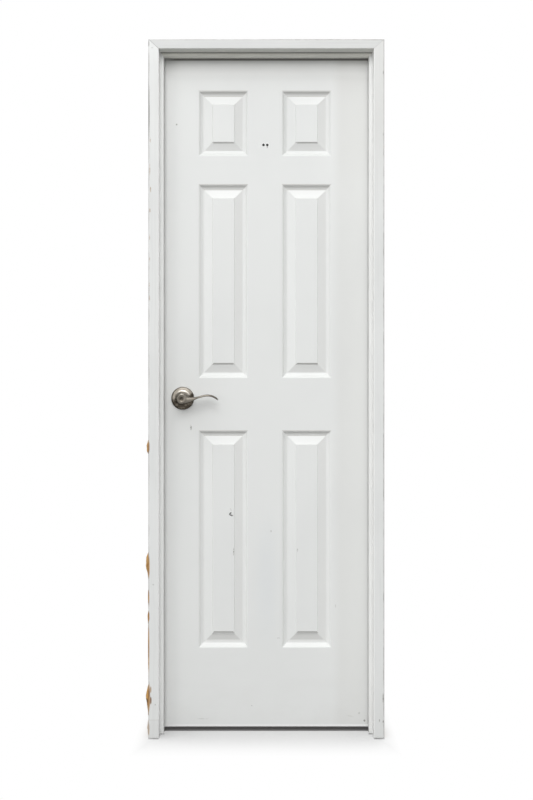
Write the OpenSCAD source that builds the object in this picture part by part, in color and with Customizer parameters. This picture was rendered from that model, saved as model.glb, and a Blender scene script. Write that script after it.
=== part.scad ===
// Six-panel hollow-core door leaf hung in a mitred timber frame, with lever set, latch and hinges.
// X runs across the opening with the hinges at +X. Y runs from the push side to the pull side. Z is up.
// z = 0 is the floor line under the jambs, x = 0 the middle of the frame, y = 0 the middle of its depth.

/* [Door leaf] */
// Width of the leaf
leaf_w = 610; // [500:1:930]
// Height of the leaf
leaf_h = 1961; // [1620:1:2400]
// Thickness of the leaf over both skins
leaf_t = 35; // [30:0.5:45]
// Thickness of one moulded skin
skin_t = 3; // [2.4:0.1:3.6]
// Chamfer round the outer edges of a skin
leaf_arris = 1.4; // [0.6:0.1:2]
// Width of the timber stiles inside the leaf
inner_stile_w = 30; // [28:1:36]
// Height of the timber rail at the top of the leaf
inner_top_h = 32; // [24:1:60]
// Height of the timber rail at the foot of the leaf
inner_foot_h = 45; // [30:1:90]
// Width of the lock block beside the lock stile
block_w = 70; // [62:1:74]
// Height of the lock block
block_h = 300; // [160:5:500]
// Distance across one cell of the paper core
core_cell = 96; // [80:1:120]
// Thickness of the paper walls of the core
core_wall = 1; // [0.8:0.1:1.5]
// Glue line between core and skin
core_glue = 0.1; // [0.05:0.05:0.3]

/* [Moulded panels] */
// Width of the flat at the lock side
lock_stile_w = 106; // [100:1:140]
// Width of the flat at the hinge side
hinge_stile_w = 114; // [95:1:140]
// Width of the flat between the two columns of panels
mullion_w = 98; // [70:1:130]
// Height of the flat at the foot
bottom_rail_h = 229; // [150:1:300]
// Height of the flat between low and middle panels
lock_rail_h = 153; // [100:1:220]
// Height of the middle panels
mid_panel_h = 568; // [300:1:700]
// Height of the flat between middle and top panels
frieze_rail_h = 82; // [60:1:130]
// Height of the top panels
top_panel_h = 192; // [120:1:300]
// Height of the flat at the top
top_rail_h = 100; // [70:1:160]
// Width of the curved sticking round a panel
sticking_w = 16.5; // [13:0.5:20]
// Width of the rounded first part of the sticking
ovolo_w = 5; // [3:0.5:8]
// Depth of the groove at the foot of the sticking
groove_d = 9.5; // [5:0.5:10]
// Width of the sloping margin round a raised field
bevel_w = 23; // [15:1:26]
// Depth at which the sloping margin ends
bevel_end_d = 3.8; // [2.5:0.1:4.5]
// Width of the shoulder between margin and field
shoulder_w = 2.6; // [1.5:0.1:4]
// Depth of the raised field below the face
field_d = 1; // [0.4:0.1:2]

/* [Old screw holes] */
// Diameter of the holes
old_hole_d = 5; // [3:0.5:6]
// Distance between the holes
old_hole_pitch = 11.1; // [8:0.1:20]
// Middle of the pair across the frame
old_hole_x = -3; // [-20:0.5:20]
// Height of the pair above the foot of the leaf
old_hole_h = 1701; // [1690:1:1740]

/* [Frame] */
// Thickness of the side jambs
jamb_t = 30; // [26:1:40]
// Thickness of the head jamb
head_t = 27; // [24:1:40]
// Depth of the frame from push side to pull side
frame_d = 115; // [100:1:160]
// Rounding of the jamb edges
jamb_arris = 2; // [0.5:0.1:3]
// Gap between leaf and side jamb
gap_side = 3; // [2.5:0.1:4]
// Gap between leaf and head jamb
gap_top = 3; // [2:0.1:5]
// Gap under the leaf
gap_floor = 11.5; // [5:0.5:25]
// Thickness of the stops
stop_t = 10.5; // [9:0.5:16]
// Width of the stops
stop_w = 30; // [22:1:40]
// Gap between stop and leaf
stop_gap = 5; // [1:0.1:6]
// Rounding of the stop edges
stop_arris = 1.6; // [0.5:0.1:3]
// Diameter of the brads that hold the stops
brad_d = 1.6; // [1.2:0.1:2.2]
// Length of the brads
brad_l = 32; // [22:1:34]
// Depth of a brad head under the face of the stop
brad_sink = 2; // [1:0.5:4]
// Length of the corner screws
corner_screw_l = 55; // [45:1:70]
// Distance of the corner screws from the middle of the depth
corner_screw_y = 32; // [15:1:40]

/* [Hinges] */
// Height of a hinge
hinge_h = 89; // [70:1:110]
// Depth of a hinge leaf in the edge of the door
hinge_in = 29.5; // [25:0.5:31]
// Thickness of a hinge leaf
hinge_t = 2.2; // [1.6:0.1:3]
// Outside diameter of the knuckles
knuckle_d = 11; // [9.5:0.5:12]
// Diameter of the pins
pin_d = 6; // [4.5:0.1:6.4]
// Distance of the pin axis outside the leaf
pin_out = 6.5; // [6:0.1:9]
// Radial clearance of a pin in its knuckles
pin_fit = 0.05; // [0.02:0.01:0.1]
// Gap between neighbouring knuckles
knuckle_gap = 0.4; // [0.3:0.05:0.8]
// Diameter of the pin heads
pin_head_d = 9.6; // [8:0.1:11]
// Height of the pin heads
pin_head_h = 3; // [2:0.1:6]
// Top of the leaf to top hinge
hinge_top = 178; // [120:1:250]
// Foot of the leaf to bottom hinge
hinge_foot = 254; // [150:1:320]

/* [Wood screws] */
// Diameter of the shanks
screw_d = 4; // [3:0.1:4.4]
// Diameter of the heads
screw_head_d = 8; // [6.5:0.1:8.4]
// Height of the conical heads
screw_head_h = 2.2; // [1.6:0.1:2.4]
// Length of the hinge screws
screw_l = 25; // [18:1:26]
// Length of the latch and strike screws
small_screw_l = 19; // [14:1:22]
// Radial clearance round a screw
screw_fit = 0.1; // [0.05:0.01:0.2]

/* [Lever set] */
// Lock edge of the leaf to lever axis
backset = 60; // [58:0.5:64]
// Foot of the leaf to lever axis
lever_h = 960; // [850:1:1100]
// Diameter of the hole through the leaf
bore_d = 54; // [52:0.5:55]
// Diameter of the roses
rose_d = 67; // [66:0.5:72]
// Height of the roses
rose_h = 13.5; // [12.5:0.1:15]
// Thickness of the rose metal
rose_t = 1.2; // [0.8:0.1:1.4]
// Diameter of the rose collars
collar_d = 31; // [29:0.5:33]
// Thickness of the plates under the roses
plate_t = 3; // [2:0.1:3.2]
// Diameter of the plates under the roses
plate_d = 63; // [60:0.5:63.4]
// Distance of the through screws from the axis
bolt_off = 21.5; // [20.5:0.5:22]
// Diameter of the through screws
bolt_d = 4.8; // [4:0.1:5]
// Diameter of the lever shanks
shank_d = 24; // [20:0.5:24.4]
// Running clearance of a shank in its collar
shank_fit = 0.3; // [0.2:0.05:0.5]
// Diameter of the lever hubs
hub_d = 29.6; // [26:0.2:30]
// Distance of the hub ends from the leaf
hub_out = 55; // [48:0.5:62]
// Rounding of the hub ends
hub_round = 3; // [2:0.5:6]
// Side of the square spindle
spindle_w = 7; // [6:0.1:7.2]
// Length of spindle in each lever
spindle_in = 30; // [26:0.5:34]
// Clearance round the spindle
spindle_fit = 0.1; // [0.05:0.01:0.2]
// Length of a lever from its axis
lever_len = 105; // [90:1:120]
// Distance of the crest of the blade from the axis
crest_x = 76; // [65:1:80]
// Height of the crest above the axis
crest_z = 9.2; // [3:0.1:10]
// Height of the blade end from the axis
tip_z = -2.9; // [-10:0.1:2]
// Length of the taper from hub to blade
neck_len = 45; // [34:1:50]
// How fast the taper thins, 1 for a straight one
neck_taper = 1.2; // [1:0.1:2]
// How far the line of the neck is drawn down before it rises
neck_dip = 9; // [0:0.5:14]
// Height of the blade
blade_t = 6; // [4:0.1:8]
// Depth of the blade
blade_w = 18; // [14:0.5:20]
// Diameter of the privacy button
button_d = 7; // [5:0.1:8]
// Travel of the privacy button
button_travel = 4; // [2:0.1:5]
// Running clearance of the privacy button
button_fit = 0.1; // [0.05:0.01:0.15]
// Diameter of the release hole
release_d = 3.2; // [2:0.1:4]
// Diameter of the dish round the release hole
dish_d = 13; // [8:0.5:16]
// Depth of the dish round the release hole
dish_h = 2; // [1:0.1:3]

/* [Latch] */
// Height of faceplate and strike plate
face_h = 57; // [54:0.5:62]
// Width of the faceplate
face_w = 25; // [23.5:0.1:25.6]
// Thickness of the faceplate
face_t = 2; // [1.5:0.1:2.5]
// Distance of the plate screws from the bolt
face_screw = 21; // [20:0.1:22.5]
// Diameter of the latch tube
tube_d = 23; // [22.6:0.1:23.5]
// Diameter of the hole for the tube
tube_bore_d = 23.8; // [23.6:0.1:25]
// Travel of the bolt
bolt_travel = 11.5; // [9:0.1:12]
// Height of the bolt
bolt_h = 14; // [12:0.1:14.4]
// Thickness of the bolt
bolt_t = 12; // [10:0.1:12.2]
// Sliding clearance of the bolt
bolt_fit = 0.3; // [0.2:0.05:0.4]
// Thickness of the strike plate
strike_t = 1.6; // [1.2:0.1:2]
// Reach of the strike lip past the frame
strike_lip = 6; // [4:0.5:8]
// Depth of the pocket behind the strike plate
pocket_d = 15; // [12.5:0.5:20]

/* [Foam residue] */
// How far the thickest lump stands out from the jamb
foam_out = 11; // [4:0.5:12]
// Width of the foam bead on the jamb
foam_w = 30; // [16:1:44]
// Middle of the bead from the middle of the depth
foam_y = -40; // [-42:1:0]

/* [Hidden] */
$fn = 64;
e = 1;
leaf_back = frame_d / 2;
leaf_front = leaf_back - leaf_t;
leaf_mid = leaf_back - leaf_t / 2;
leaf_foot = gap_floor;
leaf_top = leaf_foot + leaf_h;
lx = leaf_w / 2;
open_x = lx + gap_side;
open_h = leaf_top + gap_top;
frame_x = open_x + jamb_t;
frame_h = open_h + head_t;
stop_back = leaf_front - stop_gap;
stop_front = stop_back - stop_w;
mitre = head_t / jamb_t;
panel_w = (leaf_w - lock_stile_w - hinge_stile_w - mullion_w) / 2;
rails_h = bottom_rail_h + lock_rail_h + frieze_rail_h + top_rail_h;
low_panel_h = leaf_h - rails_h - mid_panel_h - top_panel_h;
panel_x = [-lx + lock_stile_w, -lx + lock_stile_w + panel_w + mullion_w];
low_z = leaf_foot + bottom_rail_h;
mid_z = low_z + low_panel_h + lock_rail_h;
top_z = mid_z + mid_panel_h + frieze_rail_h;
panel_rows = [[low_z, low_panel_h], [mid_z, mid_panel_h], [top_z, top_panel_h]];
mould_w = sticking_w + bevel_w + shoulder_w;
cyma_a = 2 * atan(groove_d / sticking_w);
cyma_r = sticking_w / sin(cyma_a);
ovolo_r = ovolo_w / sin(cyma_a);
cove_r = cyma_r - ovolo_r;
pin_x = (lx + open_x) / 2;
pin_y = leaf_back + pin_out;
hinge_low = leaf_foot + hinge_foot + hinge_h / 2;
hinge_high = leaf_top - hinge_top - hinge_h / 2;
hinge_z = [hinge_low, (hinge_low + hinge_high) / 2, hinge_high];
hinge_screws = [[-32 / 89 * hinge_h, 21], [0, 10], [32 / 89 * hinge_h, 21]];
knuckle = hinge_h / 5;
lev_x = -lx + backset;
lev_z = leaf_foot + lever_h;
rim_r = 6;
flare_h = rose_h - 1.6 - rim_r;
flare_w = rose_d / 2 - rim_r - collar_d / 2;
flare_a = 2 * atan(flare_h / flare_w);
flare_r = flare_w / sin(flare_a);
socket = spindle_w / 2 + spindle_fit;
chan_y = bolt_t / 2 + bolt_fit;
chan_z = bolt_h / 2 + bolt_fit;
slot_r = spindle_w * 0.7072 + 0.45;
dish_r = (dish_d * dish_d / 4 + dish_h * dish_h) / (2 * dish_h);

paint = [0.9, 0.9, 0.89];
timber = [0.8, 0.66, 0.46];
nickel = [0.66, 0.63, 0.58];
steel = [0.72, 0.72, 0.74];

// Points of an arc from a0 to a1 degrees
function arc(cx, cy, r, a0, a1, n) =
    [for (i = [0:n]) let (a = a0 + (a1 - a0) * i / n) [cx + r * cos(a), cy + r * sin(a)]];

// Rectangle with four rounded corners
function round_rect(x0, y0, x1, y1, r) = concat(
    arc(x1 - r, y1 - r, r, 0, 90, 4),
    arc(x0 + r, y1 - r, r, 90, 180, 4),
    arc(x0 + r, y0 + r, r, 180, 270, 4),
    arc(x1 - r, y0 + r, r, 270, 360, 4)
);

function reversed(p) = [for (i = [len(p) - 1:-1:0]) p[i]];

function bezier(a, b, c, d, t) =
    a * pow(1 - t, 3) + b * 3 * t * pow(1 - t, 2) + c * 3 * t * t * (1 - t) + d * pow(t, 3);

// Skin through rings of equal length, closed by fans at both ends
module ring_body(rings) {
    n = len(rings[0]);
    m = len(rings);
    points = [for (r = rings) for (p = r) p];
    sides = [for (i = [0:m - 2]) for (j = [0:n - 1]) let (k = (j + 1) % n)
        each [[i * n + j, i * n + k, i * n + n + k], [i * n + j, i * n + n + k, i * n + n + j]]];
    caps = [for (j = [1:n - 2]) each [[0, j + 1, j], [m * n - n, m * n - n + j, m * n - n + j + 1]]];
    polyhedron(points = points, faces = [for (f = concat(sides, caps)) reversed(f)]);
}

// Round wire along a path, closed by flat ends, with the rings kept square to the axis of the coil
module coil(r, wire_r, turns, height, steps) {
    total = floor(turns * steps);
    ring_body([for (i = [0:total]) let (a = 360 * i / steps, z = height * i / total)
        [for (j = [0:7]) let (b = 45 * j)
            [(r + wire_r * cos(b)) * cos(a), (r + wire_r * cos(b)) * sin(a), z + wire_r * sin(b)]]]);
}

// Prism over an outline in X and Z, running the whole depth
module prism_xz(outline) {
    translate([0, 200, 0])
        rotate([90, 0, 0])
            linear_extrude(height = 400)
                polygon(outline);
}

// Prism over an outline in Y and Z, from x0 to x1
module prism_yz(x0, x1, outline) {
    translate([x0, 0, 0])
        rotate([90, 0, 90])
            linear_extrude(height = x1 - x0)
                polygon(outline);
}

// Turned shape with its axis on Z
module turned(outline) {
    rotate_extrude()
        polygon(outline);
}

// Countersunk screw, head flush with z = 0, pointing down
module screw(l) {
    r = screw_d / 2;
    h = screw_head_d / 2;
    difference() {
        turned([[0, -l], [0.5, -l], [r, -l + 5], [r, -screw_head_h], [h, -0.2], [h, 0], [0, 0]]);
        translate([-2.2, -0.45, -1.3])
            cube([4.4, 0.9, 2]);
        translate([-0.45, -2.2, -1.3])
            cube([0.9, 4.4, 2]);
    }
}

// Hole that takes such a screw
module screw_hole(l) {
    r = screw_d / 2 + screw_fit;
    h = screw_head_d / 2 + screw_fit;
    turned([[0, -l - 0.5], [r, -l - 0.5], [r, -screw_head_h - 0.05], [h, -0.25], [h, e], [0, e]]);
}

module to_plus_x() {
    rotate([0, -90, 0])
        children();
}

module to_minus_x() {
    rotate([0, 90, 0])
        children();
}

// Places where the parts are repeated

module at_corner_screws(side) {
    for (y = [-corner_screw_y, corner_screw_y])
        translate([side * frame_x, y, open_h + head_t * 0.42])
            children();
}

module at_side_brads() {
    for (i = [0:4])
        translate([0, (stop_front + stop_back) / 2, 120 + i * (open_h - 240) / 4])
            children();
}

module at_head_brads() {
    for (i = [-1:1])
        translate([i * open_x * 0.7, (stop_front + stop_back) / 2, 0])
            children();
}

module at_hinge_screws() {
    for (z = hinge_z)
        for (s = hinge_screws)
            translate([0, leaf_back - s[1], z + s[0]])
                children();
}

module at_latch() {
    translate([lev_x, leaf_mid, lev_z])
        children();
}

module at_face_screws() {
    for (s = [-1, 1])
        translate([0, leaf_mid, lev_z + s * face_screw])
            children();
}

module at_front() {
    translate([lev_x, leaf_front, lev_z])
        rotate([90, 0, 0])
            children();
}

module at_back() {
    translate([lev_x, leaf_back, lev_z])
        mirror([0, 1, 0])
            rotate([90, 0, 0])
                children();
}

// Frame

module side_blank(side) {
    intersection() {
        linear_extrude(height = frame_h + e)
            polygon(round_rect(
                side > 0 ? open_x : -frame_x, -frame_d / 2,
                side > 0 ? frame_x : -open_x, frame_d / 2, jamb_arris));
        prism_xz([
            [side * (open_x - 10), -e], [side * (open_x - 10), open_h - 10 * mitre],
            [side * (frame_x + 10), frame_h + 10 * mitre], [side * (frame_x + 10), -e]
        ]);
    }
}

module side_brad_holes(side) {
    at_side_brads()
        translate([side * (open_x - stop_t + brad_sink), 0, 0])
            rotate([0, side * 90, 0])
                cylinder(h = brad_l + 0.5, d = brad_d + 0.1);
}

module strike_jamb() {
    color(paint)
        difference() {
            side_blank(-1);
            translate([-open_x - strike_t, leaf_mid - 13, lev_z - face_h / 2 - 0.1])
                cube([strike_t + e, leaf_t, face_h + 0.2]);
            translate([-open_x - pocket_d, leaf_mid - 8, lev_z - 9.5])
                cube([pocket_d + e, 16, 19]);
            translate([-open_x, 0, 0])
                at_face_screws()
                    to_minus_x()
                        screw_hole(small_screw_l);
            at_corner_screws(-1)
                to_plus_x()
                    screw_hole(corner_screw_l);
            side_brad_holes(-1);
        }
}

module hinge_jamb() {
    color(paint)
        difference() {
            side_blank(1);
            for (z = hinge_z)
                translate([open_x - e, leaf_back - hinge_in - 0.1, z - hinge_h / 2 - 0.1])
                    cube([hinge_t + e, hinge_in + 2, hinge_h + 0.2]);
            translate([open_x, 0, 0])
                at_hinge_screws()
                    to_plus_x()
                        screw_hole(screw_l);
            at_corner_screws(1)
                to_minus_x()
                    screw_hole(corner_screw_l);
            side_brad_holes(1);
        }
}

module head_jamb() {
    color(paint)
        difference() {
            intersection() {
                prism_yz(-frame_x - e, frame_x + e,
                    round_rect(-frame_d / 2, open_h, frame_d / 2, frame_h, jamb_arris));
                prism_xz([
                    [-open_x + 10, open_h - 10 * mitre], [open_x - 10, open_h - 10 * mitre],
                    [frame_x + 10, frame_h + 10 * mitre], [-frame_x - 10, frame_h + 10 * mitre]
                ]);
            }
            at_corner_screws(-1)
                to_plus_x()
                    screw_hole(corner_screw_l);
            at_corner_screws(1)
                to_minus_x()
                    screw_hole(corner_screw_l);
            at_head_brads()
                translate([0, 0, open_h - stop_t + brad_sink])
                    cylinder(h = brad_l + 0.5, d = brad_d + 0.1);
        }
}

// Outline of a stop with its two exposed edges rounded, back against the line u = 0
function stop_outline() = concat(
    [[0, stop_back], [0, stop_front]],
    arc(stop_t - stop_arris, stop_front + stop_arris, stop_arris, -90, 0, 4),
    arc(stop_t - stop_arris, stop_back - stop_arris, stop_arris, 0, 90, 4)
);

module side_stop(side) {
    color(paint)
        difference() {
            intersection() {
                linear_extrude(height = open_h)
                    polygon([for (p = stop_outline()) [side * (open_x - p[0]), p[1]]]);
                prism_xz([
                    [side * (open_x + e), -e], [side * (open_x + e), open_h + e],
                    [side * (open_x - stop_t - e), open_h - stop_t - e],
                    [side * (open_x - stop_t - e), -e]
                ]);
            }
            side_brad_holes(side);
        }
}

module strike_stop() {
    side_stop(-1);
}

module hinge_stop() {
    side_stop(1);
}

module head_stop() {
    color(paint)
        difference() {
            intersection() {
                prism_yz(-open_x, open_x, [for (p = stop_outline()) [p[1], open_h - p[0]]]);
                prism_xz([
                    [-open_x - e, open_h + e], [open_x + e, open_h + e],
                    [open_x - stop_t - e, open_h - stop_t - e],
                    [-open_x + stop_t + e, open_h - stop_t - e]
                ]);
            }
            at_head_brads()
                translate([0, 0, open_h - stop_t + brad_sink])
                    cylinder(h = brad_l + 0.5, d = brad_d + 0.1);
        }
}

module corner_screws() {
    color(steel) {
        at_corner_screws(-1)
            to_plus_x()
                screw(corner_screw_l);
        at_corner_screws(1)
            to_minus_x()
                screw(corner_screw_l);
    }
}

module stop_brads() {
    color(steel) {
        for (side = [-1, 1])
            at_side_brads()
                translate([side * (open_x - stop_t + brad_sink), 0, 0])
                    rotate([0, side * 90, 0])
                        cylinder(h = brad_l, d = brad_d);
        at_head_brads()
            translate([0, 0, open_h - stop_t + brad_sink])
                cylinder(h = brad_l, d = brad_d);
    }
}

// Flat plate let into the jamb, with a lip that curls round past the pull side
module strike_plate() {
    lip_r = 8;
    lip_a = asin(min(0.95, strike_lip / lip_r));
    color(nickel)
        difference() {
            union() {
                translate([-open_x - strike_t, leaf_mid - 12.9, lev_z - face_h / 2])
                    cube([strike_t, leaf_t / 2 + 12.9 - 1, face_h]);
                translate([0, 0, lev_z - 15])
                    linear_extrude(height = 30)
                        polygon(concat(
                            [[-open_x - strike_t, leaf_back - 2], [-open_x, leaf_back - 2]],
                            arc(-open_x - lip_r, leaf_back, lip_r, 0, lip_a, 6),
                            reversed(arc(-open_x - lip_r, leaf_back, lip_r - strike_t, 0, lip_a, 6))
                        ));
            }
            translate([-open_x - 5, leaf_mid - 8, lev_z - 9.5])
                cube([10, 16, 19]);
            translate([-open_x, 0, 0])
                at_face_screws()
                    to_minus_x()
                        screw_hole(small_screw_l);
        }
}

module strike_screws() {
    color(nickel)
        translate([-open_x, 0, 0])
            at_face_screws()
                to_minus_x()
                    screw(small_screw_l);
}

// One lump of hardened foam on the wall face of the strike jamb, flat against it
module foam_lump(z, l, out, seed) {
    rings = 10;
    ring_body([for (i = [0:rings]) let (
            t = i / rings,
            s = sqrt(max(0.03, 1 - pow(2 * t - 1, 2))),
            w = 0.5 * foam_w * s * (1 + 0.16 * sin(seed + 620 * t)),
            h = out * s * (1 - 0.18 * (1 + sin(seed * 3 + 940 * t)) / 2))
        [for (j = [0:8]) let (a = 180 * j / 8)
            [-frame_x - h * sin(a) * (1 - 0.12 * (1 + sin(seed + 150 * j + 400 * t)) / 2),
                foam_y + w * cos(a), z + l * (t - 0.5)]]]);
}

module foam_residue() {
    color([0.75, 0.55, 0.3]) {
        foam_lump(834, 44, foam_out * 0.8, 20);
        foam_lump(491, 84, foam_out, 75);
        foam_lump(408, 46, foam_out * 0.42, 130);
        foam_lump(268, 200, foam_out * 0.46, 200);
        foam_lump(109, 92, foam_out * 0.96, 260);
        foam_lump(28, 48, foam_out * 0.55, 310);
    }
}

// Leaf

// Depth line of the moulding from the edge of a panel to its field
function mould_line() = concat(
    [for (i = [0:4]) let (a = cyma_a * i / 4) [ovolo_r * sin(a), -ovolo_r * (1 - cos(a))]],
    [for (i = [5:-1:0]) let (a = cyma_a * i / 6)
        [sticking_w - cove_r * sin(a), -groove_d + cove_r * (1 - cos(a))]],
    [[sticking_w + bevel_w, -bevel_end_d], [mould_w, -field_d]]
);

// One mitred run of moulding along X, its edge on y = 0
module mould_run(l) {
    line = mould_line();
    intersection() {
        prism_yz(0, l, concat(line, [for (p = reversed(line)) [p[0], p[1] - skin_t]]));
        translate([0, 0, -groove_d - skin_t - e])
            linear_extrude(height = groove_d + skin_t + 2 * e)
                polygon([[0, 0], [l, 0], [l - mould_w, mould_w], [mould_w, mould_w]]);
    }
}

// One pressed panel with its corner at the origin
module pressed_panel(w, h) {
    mould_run(w);
    translate([w, 0, 0])
        rotate([0, 0, 90])
            mould_run(h);
    translate([w, h, 0])
        rotate([0, 0, 180])
            mould_run(w);
    translate([0, h, 0])
        rotate([0, 0, 270])
            mould_run(h);
    translate([mould_w, mould_w, -field_d - skin_t])
        cube([w - 2 * mould_w, h - 2 * mould_w, skin_t]);
}

function skin_edge(a, b) = [
    [a, -skin_t], [b, -skin_t], [b, -leaf_arris],
    [b - leaf_arris, 0], [a + leaf_arris, 0], [a, -leaf_arris]
];

// The foot is sawn square, where the leaf was trimmed to fit
function skin_rise(a, b) = [
    [a, -skin_t], [b, -skin_t], [b, -leaf_arris], [b - leaf_arris, 0], [a, 0]
];

// Moulded skin lying flat: outer face on z = 0, height of the leaf along y
module flat_skin() {
    difference() {
        intersection() {
            prism_yz(-lx - e, lx + e, skin_rise(leaf_foot, leaf_top));
            translate([0, leaf_top + e, 0])
                rotate([90, 0, 0])
                    linear_extrude(height = leaf_h + 2 * e)
                        polygon(skin_edge(-lx, lx));
        }
        for (x = panel_x)
            for (r = panel_rows)
                translate([x, r[0], -skin_t - e])
                    cube([panel_w, r[1], skin_t + 2 * e]);
    }
    for (x = panel_x)
        for (r = panel_rows)
            translate([x, r[0], 0])
                pressed_panel(panel_w, r[1]);
}

module face_bore() {
    at_latch()
        rotate([90, 0, 0])
            cylinder(h = 2 * leaf_t, d = bore_d, center = true);
}

module edge_bore() {
    translate([-lx - e, leaf_mid, lev_z])
        rotate([0, 90, 0])
            cylinder(h = backset - 18 + e, d = tube_bore_d);
}

module leaf_gains() {
    for (z = hinge_z)
        translate([lx - hinge_t, leaf_back - hinge_in - 0.1, z - hinge_h / 2 - 0.1])
            cube([hinge_t + e, hinge_in + 2, hinge_h + 0.2]);
}

module front_skin() {
    color(paint)
        difference() {
            translate([0, leaf_front, 0])
                rotate([90, 0, 0])
                    flat_skin();
            face_bore();
            for (s = [-0.5, 0.5])
                translate([old_hole_x + s * old_hole_pitch, leaf_front - e, leaf_foot + old_hole_h])
                    rotate([-90, 0, 0])
                        cylinder(h = skin_t + 2 * e, d = old_hole_d);
        }
}

module back_skin() {
    color(paint)
        difference() {
            translate([0, leaf_back, 0])
                mirror([0, 1, 0])
                    rotate([90, 0, 0])
                        flat_skin();
            face_bore();
            leaf_gains();
        }
}

module rim_block(x0, x1, z0, z1) {
    translate([x0, leaf_front + skin_t, z0])
        cube([x1 - x0, leaf_t - 2 * skin_t, z1 - z0]);
}

module lock_stile() {
    color(timber)
        difference() {
            rim_block(-lx, -lx + inner_stile_w, leaf_foot, leaf_top);
            translate([-lx - e, leaf_mid - face_w / 2 - 0.1, lev_z - face_h / 2 - 0.1])
                cube([face_t + e, face_w + 0.2, face_h + 0.2]);
            edge_bore();
            translate([-lx, 0, 0])
                at_face_screws()
                    to_plus_x()
                        screw_hole(small_screw_l);
        }
}

module hinge_stile() {
    color(timber)
        difference() {
            rim_block(lx - inner_stile_w, lx, leaf_foot, leaf_top);
            leaf_gains();
            translate([lx, 0, 0])
                at_hinge_screws()
                    to_minus_x()
                        screw_hole(screw_l);
        }
}

module top_rail() {
    color(timber)
        rim_block(-lx + inner_stile_w, lx - inner_stile_w, leaf_top - inner_top_h, leaf_top);
}

module foot_rail() {
    color(timber)
        rim_block(-lx + inner_stile_w, lx - inner_stile_w, leaf_foot, leaf_foot + inner_foot_h);
}

module lock_block() {
    color(timber)
        difference() {
            rim_block(-lx + inner_stile_w, -lx + inner_stile_w + block_w,
                lev_z - block_h / 2, lev_z + block_h / 2);
            face_bore();
            edge_bore();
        }
}

// Expanded paper honeycomb between the skins, thinner behind the pressed panels
module paper_core() {
    x0 = -lx + inner_stile_w;
    z0 = leaf_foot + inner_foot_h;
    z1 = leaf_top - inner_top_h;
    pitch_z = (core_cell + core_wall) * 0.866;
    t = leaf_t - 2 * skin_t - 2 * core_glue;
    thin = t - 2 * groove_d;
    cols = ceil(leaf_w / (core_cell + core_wall));
    rows = ceil((z1 - z0) / pitch_z);
    color([0.72, 0.58, 0.4])
        difference() {
            translate([0, leaf_mid + t / 2, 0])
                rotate([90, 0, 0])
                    linear_extrude(height = t)
                        difference() {
                            translate([x0, z0])
                                square([-2 * x0, z1 - z0]);
                            for (i = [0:rows])
                                for (k = [0:cols])
                                    translate([
                                        x0 + (k + (i % 2) / 2) * (core_cell + core_wall) + 7,
                                        z0 + i * pitch_z + 9])
                                        rotate(30)
                                            circle(d = core_cell / 0.866, $fn = 6);
                            translate([x0 - e, lev_z - block_h / 2 - 0.3])
                                square([block_w + e + 0.3, block_h + 0.6]);
                        }
            for (x = panel_x)
                for (r = panel_rows)
                    for (y = [leaf_mid - t / 2 - e, leaf_mid + thin / 2])
                        translate([x - 0.5, y, r[0] - 0.5])
                            cube([panel_w + 1, groove_d + e, r[1] + 1]);
        }
}

// Hinges

// Hinge leaf about its pin axis, on the +X side, with the knuckles listed
module hinge_leaf(own) {
    x0 = gap_side / 2;
    clear = knuckle_d / 2 + 0.5;
    difference() {
        union() {
            translate([x0, -pin_out - hinge_in, -hinge_h / 2])
                cube([hinge_t, pin_out + hinge_in - clear, hinge_h]);
            for (i = own)
                translate([0, 0, -hinge_h / 2 + i * knuckle + knuckle_gap / 2]) {
                    cylinder(h = knuckle - knuckle_gap, d = knuckle_d);
                    translate([x0, -clear - e, 0])
                        cube([hinge_t, clear + e - pin_d / 2, knuckle - knuckle_gap]);
                }
        }
        cylinder(h = hinge_h + 2, r = pin_d / 2 + pin_fit, center = true);
        for (s = hinge_screws)
            translate([x0, -pin_out - s[1], s[0]])
                to_plus_x()
                    screw_hole(screw_l);
    }
}

module jamb_leaf(i) {
    color(nickel)
        translate([pin_x, pin_y, hinge_z[i]])
            hinge_leaf([0, 2, 4]);
}

module door_leaf(i) {
    color(nickel)
        translate([pin_x, pin_y, hinge_z[i]])
            mirror([1, 0, 0])
                hinge_leaf([1, 3]);
}

module pin(i) {
    r = pin_d / 2;
    h = pin_head_d / 2;
    top = hinge_h / 2 - knuckle_gap / 2;
    color(nickel)
        translate([pin_x, pin_y, hinge_z[i]])
            turned([
                [0, -top - 2], [r - 1, -top - 2], [r, -top - 1], [r, top], [h, top],
                [h, top + pin_head_h - 1], [h - 1, top + pin_head_h], [0, top + pin_head_h]
            ]);
}

module top_jamb_leaf() {
    jamb_leaf(2);
}

module middle_jamb_leaf() {
    jamb_leaf(1);
}

module bottom_jamb_leaf() {
    jamb_leaf(0);
}

module top_door_leaf() {
    door_leaf(2);
}

module middle_door_leaf() {
    door_leaf(1);
}

module bottom_door_leaf() {
    door_leaf(0);
}

module top_pin() {
    pin(2);
}

module middle_pin() {
    pin(1);
}

module bottom_pin() {
    pin(0);
}

module jamb_hinge_screws() {
    color(nickel)
        translate([open_x, 0, 0])
            at_hinge_screws()
                to_plus_x()
                    screw(screw_l);
}

module door_hinge_screws() {
    color(nickel)
        translate([lx, 0, 0])
            at_hinge_screws()
                to_minus_x()
                    screw(screw_l);
}

// Lever set, each piece drawn with the leaf on z = 0 and the hand side at +z

// Outline of the rose: a rounded rim that flares up to the collar
function rose_line(inset, sweep) = concat(
    arc(rose_d / 2 - rim_r, 1.6, rim_r - inset, 0, 90, 8),
    [for (i = [1:8]) let (a = sweep * i / 8)
        [rose_d / 2 - rim_r - (flare_r + inset) * sin(a),
            1.6 + rim_r + flare_r - (flare_r + inset) * cos(a)]]
);

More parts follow.
